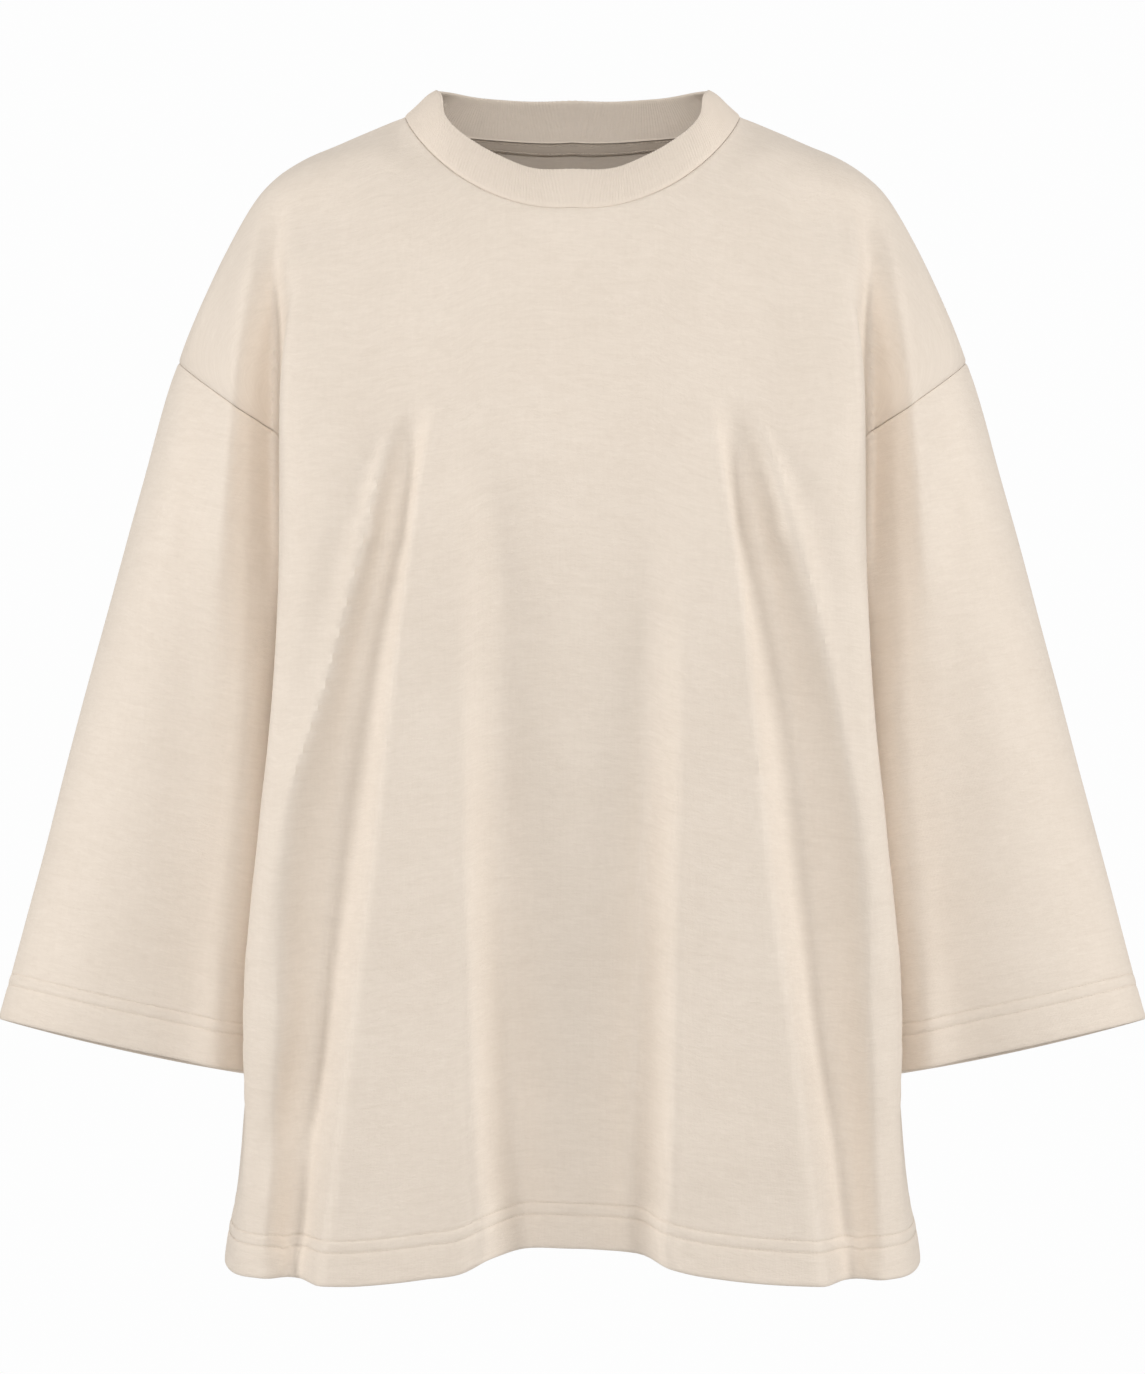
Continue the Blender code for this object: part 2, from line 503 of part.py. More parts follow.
# front armpit: height, place of the body's crisp edge, place of the sleeve head's ridge, how far the cloth between them sinks (mm)
ARMPIT = table([
    [-40, 186, 206, 0.0], [-70, 187, 210, 3.5], [-90, 187, 213, 8.5], [-115, 188, 216, 14.0], [-140, 188, 219, 18.0], [-170, 189, 222, 20.5],
    [-211, 190, 225, 21.5], [-250, 190, 228, 18.0], [-290, 191, 230, 8.0], [-330, 192, 233, 0.0]])

def armpit(P, N):
    """how far the front cloth moves back (+) or forward (-) beside the body's front edge, in metres"""
    x, z = np.abs(P[..., 0]) * 1000, P[..., 2] * 1000
    A = ARMPIT[::-1]
    e, r, d = (smooth_interp(z, A[:, 0], A[:, i]) for i in (1, 2, 3))
    d = np.maximum(d, 0.0)
    q = np.clip((x - e) / (r - e), 0, 1)
    sink = d * sstep(x, e - 1.5, e + 10.5) * (1 - q) ** 1.5 * 1.20
    live = sstep(z, -320, -270) * (1 - sstep(z, -90, -60))
    crest = 1.4 * np.exp(-((x - e + 3.0) / 4.5) ** 2) * live
    head = 3.4 * np.exp(-((x - r) / 8.0) ** 2) - 4.6 * np.exp(-((x - r - 22.0) / 13.0) ** 2)
    head = head * sstep(z, -330, -260) * (1 - sstep(z, -85, -55))
    return 0.001 * (sink - crest - head) * sstep(-P[..., 1], 0.018, 0.050)

# crisp folds of the front: line, place across, height (mm), crest, its half width, hollow outside it, its distance, its half width
FOLDS = table([
    [1, -87, -196, 1.0, 4.5, 0.7, 13, 11], [1, -93, -224, 4.4, 4.5, 3.0, 15, 12], [1, -103, -294, 5.4, 4.5, 3.4, 17, 13], [1, -116, -398, 5.4, 4.5, 3.0, 18, 14],
    [1, -126, -495, 5.1, 4.5, 2.6, 18, 14], [1, -136, -573, 4.8, 4.5, 2.2, 18, 14], [1, -146, -664, 4.4, 4.5, 1.9, 17, 13], [1, -159, -775, 4.1, 4.5, 1.9, 16, 12],
    [2, -112, -200, 1.0, 4.5, 0.7, 12, 10], [2, -124, -240, 4.4, 4.5, 2.6, 14, 11], [2, -136, -292, 4.4, 4.5, 3.0, 14, 11], [2, -157, -372, 4.1, 4.5, 2.2, 13, 11],
    [2, -181, -446, 3.4, 4.5, 1.1, 12, 10], [2, -192, -500, 2.0, 5.0, 0.4, 10, 10], [2, -199, -560, 0.0, 5.0, 0.0, 10, 10],
    [3, -78, -285, 0.0, 7.0, 0.0, -14, 12], [3, -73, -385, 0.9, 7.0, 1.3, -14, 12], [3, -71, -462, 1.4, 7.0, 2.3, -14, 12], [3, -67, -580, 1.8, 6.5, 3.0, -14, 12],
    [3, -62, -690, 2.1, 6.0, 3.3, -14, 11], [3, -56, -770, 2.2, 6.0, 3.3, -13, 11],
    [4, 74, -300, 0.0, 7.0, 0.0, -14, 12], [4, 73, -385, 0.9, 7.0, 1.3, -14, 12], [4, 71, -450, 1.4, 7.0, 2.3, -14, 12], [4, 69, -514, 1.7, 6.5, 2.6, -14, 12],
    [4, 66, -612, 2.0, 6.5, 3.0, -14, 12], [4, 62, -720, 2.1, 6.0, 3.3, -14, 11], [4, 58, -770, 2.2, 6.0, 3.3, -13, 11],
    [5, 87, -194, 0.8, 4.5, 0.7, 13, 11], [5, 97, -243, 4.1, 4.5, 2.8, 15, 12], [5, 106, -307, 5.1, 4.5, 3.4, 17, 13], [5, 113, -372, 5.4, 4.5, 3.4, 18, 14],
    [5, 127, -514, 5.1, 4.5, 3.0, 18, 14], [5, 139, -599, 4.8, 4.5, 2.6, 18, 14], [5, 147, -677, 4.4, 4.5, 2.2, 17, 13], [5, 159, -775, 4.1, 4.5, 1.9, 16, 12],
    [6, 119, -200, 0.8, 4.5, 0.7, 12, 10], [6, 132, -240, 3.7, 4.5, 2.2, 14, 11], [6, 147, -292, 4.1, 4.5, 2.6, 13, 11], [6, 166, -368, 3.7, 4.5, 1.5, 12, 10],
    [6, 179, -430, 2.7, 4.5, 0.7, 10, 10], [6, 188, -480, 1.4, 5.0, 0.0, 10, 10], [6, 196, -530, 0.0, 5.0, 0.0, 10, 10]])

def fold_lines(P, N):
    """stand-off of the crisp folds of the front, in metres"""
    x, z = P[..., 0] * 1000, P[..., 2] * 1000
    D = np.zeros(x.shape)
    for k in range(1, 7):
        T = FOLDS[FOLDS[:, 0] == k][::-1]
        c, crest, wc, hol, far, wh = (smooth_interp(np.clip(z, T[0, 2], T[-1, 2]), T[:, 2], T[:, i]) for i in (1, 3, 4, 5, 6, 7))
        slope = np.gradient(T[:, 1], T[:, 2]).mean()
        s = (x - c) * np.sign(T[0, 1]) / np.sqrt(1 + slope * slope)
        end = sstep(z, T[0, 2] - 12, T[0, 2] + 6) if T[0, 2] > -760 else 1.0
        top = 1 - sstep(z, T[-1, 2] - 6, T[-1, 2] + 8)
        side = np.where(s > 0, np.exp(-(s / wc) ** 2), np.exp(-np.maximum(-s - 1.0, 0) / 26.0) if k in (1, 2, 5, 6) else np.exp(-(s / wc) ** 2))
        D += (np.maximum(crest, 0) * side - np.maximum(hol, 0) * np.exp(-((s - far) / wh) ** 2)) * end * top
    return 0.001 * D * sstep(-N[..., 1], 0.15, 0.6) * (P[..., 1] < 0)

# outer part of the front, which comes forward again beyond the main folds: height, where it is fully forward on the right and on the left, how far (mm)
FLANK = table([
    [-190, -118, 122, 0.0], [-240, -127, 132, 2.5], [-300, -142, 152, 4.5], [-372, -161, 170, 7.0], [-446, -182, 184, 9.5], [-500, -188, 190, 11.0],
    [-600, -194, 196, 12.5], [-700, -200, 202, 13.0], [-780, -206, 208, 13.0]])

def flank(P):
    """how far the outer part of the front comes forward, in metres"""
    x, z = P[..., 0] * 1000, P[..., 2] * 1000
    F = FLANK[::-1]
    zz = np.clip(z, F[0, 0], F[-1, 0])
    right, left, amp = (smooth_interp(zz, F[:, 0], F[:, i]) for i in (1, 2, 3))
    s = np.where(x < 0, right - x, x - left)
    e = np.where(s > 0, np.exp(-(s / 60.0) ** 2), np.exp(-(s / 12.0) ** 2))
    return 0.001 * np.maximum(amp, 0) * e * sstep(-P[..., 1], 0.020, 0.075)

def body_outer(P, N, fine=False):
    D = relief(P, N) + (fold_lines(P, N) if fine else 0.0)
    Q = P + N * D[..., None]
    Q[..., 1] += armpit(P, N) - flank(P) * (1 - sstep(np.abs(P[..., 0]), 0.183, 0.197) * sstep(P[..., 2], -0.345, -0.275))
    # the bottom edge rises and falls with the folds of the front
    down = sstep(-P[..., 2], 0.45, -HEM_Z)
    wf = sstep(-N[..., 1], 0.15, 0.75)
    Q[..., 2] += (smooth_interp(Q[..., 0], HEM[:, 0], HEM[:, 1]) - HEM_Z) * down * wf
    return Q

def sleeve_outer(P, N, w):
    """w: share of the length from the armhole"""
    x, z = np.abs(P[..., 0]), P[..., 2]
    c = smooth_interp(z, [-0.66, -0.45, -0.345, -0.266, -0.188, -0.123, -0.066], [0.262, 0.236, 0.231, 0.227, 0.223, 0.2215, 0.213])
    dx = x - c
    s = np.where(dx > 0, 0.013, 0.020)
    f = (np.exp(-(dx / s) ** 2) - 0.45 * np.exp(-((dx - 0.026) / 0.016) ** 2)) * sstep(-N[..., 1], 0.2, 0.8) * sstep(z, -0.62, -0.30)
    b = np.exp(-((x - c - 0.01) / 0.03) ** 2) * sstep(N[..., 1], 0.2, 0.8) * sstep(z, -0.58, -0.35)
    g = np.exp(-((dx + 0.020) / 0.015) ** 2) * sstep(-N[..., 1], 0.15, 0.6) * sstep(-z, 0.30, 0.40)
    Q = P + N * ((0.0034 * f + 0.0075 * g + 0.003 * b) * sstep(w, 0.10, 0.40))[..., None]
    Q[..., 1] += armpit(P, N)
    return Q

# ------------------------------------------------------------------ grids of any fineness
def cubic_rows(G, f):
    """sample along axis 0 at fractional places f, smooth through the points"""
    n = len(G)
    i = np.clip(np.floor(f).astype(int), 0, n - 2)
    t = (f - i).reshape((-1,) + (1,) * (G.ndim - 1))
    p1, p2 = G[i], G[i + 1]
    p0 = np.where((i > 0).reshape(t.shape), G[np.maximum(i - 1, 0)], 2 * p1 - p2)
    p3 = np.where((i < n - 2).reshape(t.shape), G[np.minimum(i + 2, n - 1)], 2 * p2 - p1)
    return 0.5 * (2 * p1 + (p2 - p0) * t + (2 * p0 - 5 * p1 + 4 * p2 - p3) * t ** 2 + (3 * p1 - p0 - 3 * p2 + p3) * t ** 3)

def arc_of(P):
    return np.r_[0, np.cumsum(np.linalg.norm(np.diff(P, axis=0), axis=1))]

def rows_of_column(C, v, n_top, n_low, hem, neck_rows):
    """places (fractional rows of the base) with n_top rows to the underarm, n_low to the hem, then rows at the given heights above the edge"""
    s = arc_of(C)
    k = int(np.argmin(np.abs(v - V_ARM)))
    a, L = s[k], s[-1]
    top = np.r_[np.array(neck_rows), np.linspace(neck_rows[-1], a, n_top + 1)[1:]]
    low = np.linspace(a, L - hem[0], n_low + 1)[1:]
    d = np.r_[top, low, L - np.array(hem[1:])]
    return np.interp(d, s, np.arange(len(s)))

def half_panel(front, cols, n_top, n_low, hem, neck_rows=(0.0,)):
    """plain form of half a panel at the given fractional columns: [col, row, 3]"""
    G, v, nn = base_half(front)
    Gc = cubic_rows(G, np.asarray(cols, float))
    R = [cubic_rows(c, rows_of_column(c, v, n_top, n_low, hem, neck_rows if i <= 10**6 else (0.0,))) for i, c in enumerate(Gc)]
    return np.array(R)

def unit(v):
    return v / np.maximum(np.linalg.norm(v, axis=-1, keepdims=True), 1e-12)

def grid_normals(G, wrap=False):
    du = np.empty_like(G); dv = np.empty_like(G)
    if wrap:
        du = np.roll(G, -1, 0) - np.roll(G, 1, 0)
    else:
        du[1:-1] = G[2:] - G[:-2]; du[0] = G[1] - G[0]; du[-1] = G[-1] - G[-2]
    dv[:, 1:-1] = G[:, 2:] - G[:, :-2]; dv[:, 0] = G[:, 1] - G[:, 0]; dv[:, -1] = G[:, -1] - G[:, -2]
    return unit(np.cross(du, dv))

def make_panels(cols, n_top, n_low, hem, neck_rows, sleeve_rows, cuff, top_rows=(0.0,), fine=False):
    """outer faces of front, back and sleeves with matching edges: dict of [col, row, 3]; also which rows carry the hem"""
    out = {}
    plain = {}
    for front in (True, False):
        G = half_panel(front, cols, n_top, n_low, hem, neck_rows)
        G[0, :, 0] = 0.0
        full = np.concatenate([G[:0:-1] * np.array([-1.0, 1, 1]), G], 0)
        N = unit(grad(form_body, full))
        plain["front" if front else "back"] = full
        out["front" if front else "back"] = body_outer(full, N, fine)
    nt = len(neck_rows) + n_top - 1           # row number of the underarm
    for sgn, name in ((1.0, "sleeve_left"), (-1.0, "sleeve_right")):
        e = -1 if sgn > 0 else 0
        edge, ring = (np.vstack([q["front"][e, :nt + 1], q["back"][e, :nt + 1][::-1][1:]]) * np.array([sgn, 1, 1]) for q in (out, plain))
        S = sleeve_base(48, ring)
        # rows: even down to the hem, then the hem's own
        cols_out = []
        for c in S:
            s_ = arc_of(c)
            d = np.r_[np.array(top_rows), np.linspace(0.010, s_[-1] - cuff[0], sleeve_rows), s_[-1] - np.array(cuff[1:])]
            cols_out.append(cubic_rows(c, np.interp(d, s_, np.arange(len(s_)))))
        S = np.array(cols_out)
        w = arc_of(S[0]); w = w / w[-1]
        N = unit(grad(form_sleeve, S))
        S2 = sleeve_outer(S, N, w[None])
        S2[:, 0] = edge
        out[name] = S2[:-1] * np.array([sgn, 1, 1])
    return out, nt

NECK_TOP = dict(half=0.0894, front=0.0690, back=0.0515, squareness=2.8)

def collar_top(P):
    """upper edge of the neckband over each point of its seam"""
    x, y = P[:, 0], P[:, 1]
    ys = np.where(y < 0, y / NECK_FRONT, y / NECK_BACK)
    om = np.arctan2(ys, x / NECK_HALF)
    c, s = np.cos(om), np.sin(om)
    p = 2 / NECK_TOP["squareness"]
    X = NECK_TOP["half"] * np.sign(c) * np.abs(c) ** p
    Y = np.where(s < 0, NECK_TOP["front"], NECK_TOP["back"]) * np.sign(s) * np.abs(s) ** p
    Z = P[:, 2] + 0.0262 - 0.0040 * c * c
    return np.stack([X, Y, Z], 1)

def neck_ring(out, n_neck):
    """seam of the neckband, from the middle of the front over the left shoulder round the back"""
    F, B = out["front"], out["back"]
    m = len(F) // 2
    fr = F[m:m + n_neck + 1, 0]
    bk = B[m:m + n_neck + 1, 0]
    right = np.vstack([fr, bk[::-1][1:]])
    left = right[1:-1][::-1] * np.array([-1.0, 1, 1])
    return np.vstack([right, left])
# ------------------------------------------------------------------ closed solids
def weld_normals(grids, wraps):
    """one shared outward normal for points that lie together"""
    pts, nrm, wgt = [], [], []
    for g, wr in zip(grids, wraps):
        if wr:
            g2 = np.concatenate([g, g[:1]], 0)
        else:
            g2 = g
        a, b, c, d = g2[:-1, :-1], g2[1:, :-1], g2[1:, 1:], g2[:-1, 1:]
        n = np.cross(c - a, d - b)
        for q in (a, b, c, d):
            pts.append(q.reshape(-1, 3)); nrm.append(n.reshape(-1, 3))
    pts, nrm = np.vstack(pts), np.vstack(nrm)
    key, inv = np.unique(np.round(pts * 2e6).astype(np.int64), axis=0, return_inverse=True)
    inv = inv.reshape(-1)
    acc = np.zeros((len(key), 3))
    np.add.at(acc, inv, nrm)
    acc = unit(acc)
    look = {tuple(k): v for k, v in zip(key.tolist(), acc)}
    res = []
    for g in grids:
        k = np.round(g.reshape(-1, 3) * 2e6).astype(np.int64).tolist()
        res.append(np.array([look[tuple(q)] for q in k]).reshape(g.shape))
    return res

def share_armhole(names, grids, wraps, normals):
    """along an armhole the body and the sleeve have an equal say in the direction of the cloth"""
    body = weld_normals(grids[:2], wraps[:2])
    for s in (2, 3):
        own = weld_normals(grids[s:s + 1], wraps[s:s + 1])[0][:, 0]
        look = {}
        for q, n in zip(np.round(grids[s][:, 0] * 2e6).astype(np.int64).tolist(), own):
            look[tuple(q)] = n
        both = {}
        for b in (0, 1):
            for i in (0, -1):
                for j, q in enumerate(np.round(grids[b][i] * 2e6).astype(np.int64).tolist()):
                    if tuple(q) in look:
                        both.setdefault(tuple(q), []).append(body[b][i, j])
        ans = {q: unit(look[q] + unit(np.mean(v, axis=0))) for q, v in both.items()}
        for b in (0, 1):
            for i in (0, -1):
                for j, q in enumerate(np.round(grids[b][i] * 2e6).astype(np.int64).tolist()):
                    if tuple(q) in ans:
                        normals[b][i, j] = ans[tuple(q)]
        for j, q in enumerate(np.round(grids[s][:, 0] * 2e6).astype(np.int64).tolist()):
            if tuple(q) in ans:
                normals[s][j, 0] = ans[tuple(q)]

def across(line, N, sign):
    """direction along the cloth, square to an edge line, to the side given by sign"""
    return unit(np.cross(N, unit(np.gradient(line, axis=0)))) * sign

def trim_grid(g, N, wrap, nt):
    """draw the sewn edges back by half the seam gap; the net winds so that columns x rows points outward"""
    off = np.zeros_like(g)
    if wrap:
        e = np.concatenate([g[-1:, 0], g[:, 0], g[:1, 0]], 0)
        NN = np.concatenate([N[-1:, 0], N[:, 0], N[:1, 0]], 0)
        off[:, 0] += across(e, NN, 1.0)[1:-1]
    else:
        off[:, 0] += across(g[:, 0], N[:, 0], 1.0)
        for i, s in ((0, -1.0), (-1, 1.0)):
            off[i, :nt + 1] += across(g[i, :nt + 1], N[i, :nt + 1], s)
            off[i, nt:] += across(g[i, nt:], N[i, nt:], s)
    return g + off * SEAM, off

def shell(outer, inner, wrap):
    """closed body from two matching grids"""
    nc, nr = outer.shape[:2]
    V = np.vstack([outer.reshape(-1, 3), inner.reshape(-1, 3)])
    o = lambda i, j: (i % nc) * nr + j
    k = nc * nr
    F = []
    ci = range(nc if wrap else nc - 1)
    for i in ci:
        for j in range(nr - 1):
            a, b, c, d = o(i, j), o(i + 1, j), o(i + 1, j + 1), o(i, j + 1)
            # split along the shorter diagonal, the same way on both faces
            if np.sum((V[a] - V[c]) ** 2) <= np.sum((V[b] - V[d]) ** 2):
                F += [(a, b, c), (a, c, d), (a + k, c + k, b + k), (a + k, d + k, c + k)]
            else:
                F += [(a, b, d), (b, c, d), (a + k, d + k, b + k), (b + k, d + k, c + k)]
        a, b = o(i, 0), o(i + 1, 0)
        F.append((b, a, a + k, b + k))
        a, b = o(i, nr - 1), o(i + 1, nr - 1)
        F.append((a, b, b + k, a + k))
    if not wrap:
        for j in range(nr - 1):
            a, b = o(0, j), o(0, j + 1)
            F.append((a, b, b + k, a + k))
            a, b = o(nc - 1, j), o(nc - 1, j + 1)
            F.append((b, a, a + k, b + k))
    return V, F

def ring_solid(loops):
    """closed ring body: loops [columns, profile points, 3]"""
    nc, npf = loops.shape[:2]
    V = loops.reshape(-1, 3)
    F = []
    for i in range(nc):
        for j in range(npf):
            a, b = i * npf + j, ((i + 1) % nc) * npf + j
            c, d = ((i + 1) % nc) * npf + (j + 1) % npf, i * npf + (j + 1) % npf
            F.append((a, b, c, d))
    return V, F

def volume(V, F):
    t = 0.0
    for f in F:
        for q in range(1, len(f) - 1):
            t += np.dot(V[f[0]], np.cross(V[f[q]], V[f[q + 1]]))
    return t / 6

COLS = [0, 3, 6, 9, 12, 15, 18, 20, 24, 28, 32, 35, 36.5, 38, 41, 45, 50, 55, 58, 60]
N_NECK = 7
HEM_ROWS = [HEM_DEPTH + STEP_UP, HEM_DEPTH, HEM_DEPTH / 2, 0.0]
CUFF_ROWS = [CUFF_DEPTH + STEP_UP, CUFF_DEPTH, CUFF_DEPTH / 2, 0.0]

def solids():
    out, nt = make_panels(COLS, 8, 11, HEM_ROWS, (0.0, 0.012), 10, CUFF_ROWS)
    ring = neck_ring(out, N_NECK)
    top = collar_top(ring)
    band = np.stack([ring, ring + (top - ring) * 0.5, top], 1)
    names = ["front", "back", "sleeve_left", "sleeve_right", "collar"]
    grids = [out["front"], out["back"], out["sleeve_left"], out["sleeve_right"], band]
    wraps = [False, False, True, True, True]
    # make every grid's own winding face outward before the normals are shared
    centre = {"front": (0, 0, -0.4), "back": (0, 0, -0.4), "collar": (0, 0, -0.02)}
    for i, nme in enumerate(names):
        g = grids[i]
        n = np.cross(np.roll(g, -1, 0)[:-1, :-1] - g[:-1, :-1], g[:-1, 1:] - g[:-1, :-1])
        if nme.startswith("sleeve"):
            c = g.mean(0, keepdims=True)[:, :-1]
        else:
            c = np.array(centre[nme])
        s = ((g[:-1, :-1] - c) * n).sum()
        if s < 0:
            grids[i] = g[::-1].copy()
    normals = weld_normals(grids, wraps)
    share_armhole(names, grids, wraps, normals)
    res = {}
    extra = {}
    for nme, g, N, wr in zip(names, grids, normals, wraps):
        if nme == "collar":
            continue
        P, off = trim_grid(g, N, wr, nt)
        rows = CUFF_ROWS if wr else HEM_ROWS
        t = np.full(g.shape[1], CLOTH)
        t[-(len(rows) - 1):] = 2 * CLOTH
        inner = P - N * t[None, :, None]
        V, F = shell(P, inner, wr)
        res[nme] = (V, F)
        extra[nme] = (g, P, inner, N, off)
    # neckband
    g, N = grids[4], normals[4]
    nc = len(g)
    look = {}
    for nme in ("front", "back"):
        gg, P, inner, NN, off = extra[nme]
        for q, o_ in zip(np.round(gg[:, 0] * 2e6).astype(np.int64).tolist(), across(gg[:, 0], NN[:, 0], 1.0)):
            look.setdefault(tuple(q), []).append(o_)
    loops = []
    T = 2 * CLOTH
    for i in range(nc):
        p0, pm, p1 = g[i]
        o_ = unit(np.mean(look[tuple(np.round(p0 * 2e6).astype(np.int64).tolist())], axis=0))
        d = unit(p1 - p0)
        n = N[i, 1] - (N[i, 1] * d).sum() * d
        n = unit(n)
        base = p0 - o_ * SEAM
        base_in = p0 - N[i, 0] * T - o_ * SEAM
        L = np.linalg.norm(p1 - p0)
        mid = p0 + d * L * 0.5 + n * 0.0010
        hi = p1 - d * 0.0012 + n * 0.0002
        crown = p1 - n * T * 0.5
        hi_in = p1 - d * 0.0012 - n * (T + 0.0002)
        mid_in = mid - n * T
        loops.append([base, mid, hi, crown, hi_in, mid_in, base_in])
    V, F = ring_solid(np.array(loops))
    res["collar"] = (V, F)
    # tape inside the back of the neck, laid over the seam
    gg, P, inner, NN, off = extra["back"]
    m = len(gg) // 2
    idx = range(m - N_NECK + 1, m + N_NECK)
    a0 = np.array([inner[i, 0] for i in idx]); a1 = np.array([inner[i, 1] for i in idx])
    n0 = np.array([NN[i, 0] for i in idx]); n1 = np.array([NN[i, 1] for i in idx])
    lo, hi = 0.10, 0.94
    pa, pb = a0 + (a1 - a0) * lo, a0 + (a1 - a0) * hi
    na, nb = n0 + (n1 - n0) * lo, n0 + (n1 - n0) * hi
    up = np.stack([pa - na * 0.0006, pb - nb * 0.0006], 1)
    dn = np.stack([pa - na * 0.0014, pb - nb * 0.0014], 1)
    res["neck_tape"] = shell(up, dn, False)
    fixed = {}
    for nme, (V, F) in res.items():
        if volume(V, F) < 0:
            F = [f[::-1] for f in F]
        fixed[nme] = (V, F)
    return fixed

# ------------------------------------------------------------------ pieces in the scene
import bpy

for old in list(bpy.data.objects):
    bpy.data.objects.remove(old)

def cloth(name, colour, roughness):
    m = bpy.data.materials.new(name)
    m.use_nodes = True
    b = m.node_tree.nodes["Principled BSDF"]
    b.inputs["Base Color"].default_value = (*colour, 1.0)
    b.inputs["Roughness"].default_value = roughness
    b.inputs["Metallic"].default_value = 0.0
    return m

jersey = cloth("jersey", (0.77, 0.69, 0.59), 0.92)
rib = cloth("rib", (0.73, 0.64, 0.55), 0.92)
tape = cloth("tape", (0.70, 0.61, 0.51), 0.90)
FINISH = {"collar": rib, "neck_tape": tape}

for name, (V, F) in solids().items():
    mesh = bpy.data.meshes.new(name)
    mesh.from_pydata([tuple(float(q) for q in p) for p in V], [], [tuple(int(q) for q in f) for f in F])
    mesh.update()
    mesh.shade_smooth()
    mesh.set_sharp_from_angle(angle=0.9)
    mesh.materials.append(FINISH.get(name, jersey))
    piece = bpy.data.objects.new(name, mesh)
    bpy.context.scene.collection.objects.link(piece)
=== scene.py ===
"""Looks of the plain cream oversized crew-neck t-shirt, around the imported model."""
import bpy
import math
import numpy as np
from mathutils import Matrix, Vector


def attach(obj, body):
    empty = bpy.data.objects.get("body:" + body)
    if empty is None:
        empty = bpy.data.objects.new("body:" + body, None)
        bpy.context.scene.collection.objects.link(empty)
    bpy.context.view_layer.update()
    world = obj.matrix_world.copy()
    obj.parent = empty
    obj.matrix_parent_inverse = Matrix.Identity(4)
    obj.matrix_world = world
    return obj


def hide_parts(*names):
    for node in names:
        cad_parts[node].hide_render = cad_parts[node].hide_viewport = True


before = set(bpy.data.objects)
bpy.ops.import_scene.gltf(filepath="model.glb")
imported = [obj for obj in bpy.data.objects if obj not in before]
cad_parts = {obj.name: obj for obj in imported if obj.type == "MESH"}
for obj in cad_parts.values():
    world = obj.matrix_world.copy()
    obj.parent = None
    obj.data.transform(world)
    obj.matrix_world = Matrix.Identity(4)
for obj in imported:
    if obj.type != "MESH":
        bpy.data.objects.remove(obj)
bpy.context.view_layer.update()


# ---- sizes in metres. +X wearer's left, -Y front, +Z up. Origin: midway between the two points where the shoulder meets the neck
CLOTH = 0.0012          # thickness of the jersey
SEAM = 0.00015          # half of the gap left between two sewn pieces
HEM_DEPTH = 0.0300      # turned-up hem of the body
CUFF_DEPTH = 0.0320     # turned-up hem of a sleeve
STEP_UP = 0.0015        # over this height the single cloth becomes the double hem
SIDE_Y = -0.006         # how far forward of the middle the underarm lies

def table(rows):
    return np.array(rows, float)

def smooth_interp(x, xs, ys):
    """cubic Hermite (monotone-ish, Catmull-Rom with limited slopes) through a short table; xs rising"""
    xs = np.asarray(xs, float); ys = np.asarray(ys, float)
    h = np.diff(xs); d = np.diff(ys) / h
    m = np.empty_like(ys)
    m[1:-1] = (d[:-1] * h[1:] + d[1:] * h[:-1]) / (h[:-1] + h[1:])
    m[0], m[-1] = d[0], d[-1]
    flat = np.zeros_like(ys, bool)
    flat[1:-1] = d[:-1] * d[1:] <= 0
    m = np.where(flat, 0.35 * m, m)
    x = np.clip(x, xs[0] - 1, xs[-1] + 1)
    i = np.clip(np.searchsorted(xs, x) - 1, 0, len(h) - 1)
    t = (x - xs[i]) / h[i]
    tc = np.clip(t, 0, 1)
    y = ((2*tc**3 - 3*tc**2 + 1) * ys[i] + (tc**3 - 2*tc**2 + tc) * h[i] * m[i]
         + (-2*tc**3 + 3*tc**2) * ys[i+1] + (tc**3 - tc**2) * h[i] * m[i+1])
    y = y + np.where(t < 0, (x - xs[0]) * m[0], 0) + np.where(t > 1, (x - xs[-1]) * m[-1], 0)
    return y

def sstep(x, a, b):
    t = np.clip((x - a) / (b - a), 0, 1)
    return t * t * (3 - 2 * t)

def smin(a, b, k):
    h = np.clip(0.5 + 0.5 * (b - a) / k, 0, 1)
    return b * (1 - h) + a * h - k * h * (1 - h)

def smax(a, b, k):
    return -smin(-a, -b, k)

# ridge of the shoulders, seen from the front: distance out, height
SHOULDER = table([
    [0.000, 0.0170], [0.060, 0.0125], [0.1144, -0.0018], [0.1352, -0.0105], [0.1585, -0.0206], [0.1815, -0.0307], [0.1970, -0.0408],
    [0.2077, -0.0509], [0.2151, -0.0609], [0.2212, -0.0710], [0.2372, -0.1013], [0.2554, -0.1414], [0.2635, -0.1616], [0.290, -0.2280]])
# body sections: height, half width, front, back, squareness, tuck of the side under the arm
BODY = table([
    [-0.780, 0.2380, 0.142, 0.142, 4.0, 0.002],
    [-0.725, 0.2315, 0.139, 0.139, 4.4, 0.007],
    [-0.690, 0.2285, 0.139, 0.137, 4.8, 0.022],
    [-0.655, 0.2255, 0.138, 0.134, 5.2, 0.037],
    [-0.620, 0.2225, 0.137, 0.131, 6.4, 0.044],
    [-0.560, 0.2175, 0.136, 0.126, 9.0, 0.047],
    [-0.480, 0.2080, 0.136, 0.121, 12.0, 0.045],
    [-0.400, 0.1985, 0.136, 0.118, 15.0, 0.044],
    [-0.300, 0.1925, 0.138, 0.118, 18.0, 0.045],
    [-0.200, 0.1915, 0.139, 0.122, 19.0, 0.040],
    [-0.100, 0.1900, 0.128, 0.118, 14.0, 0.020],
    [0.040, 0.1880, 0.115, 0.100, 6.0, 0.000]])
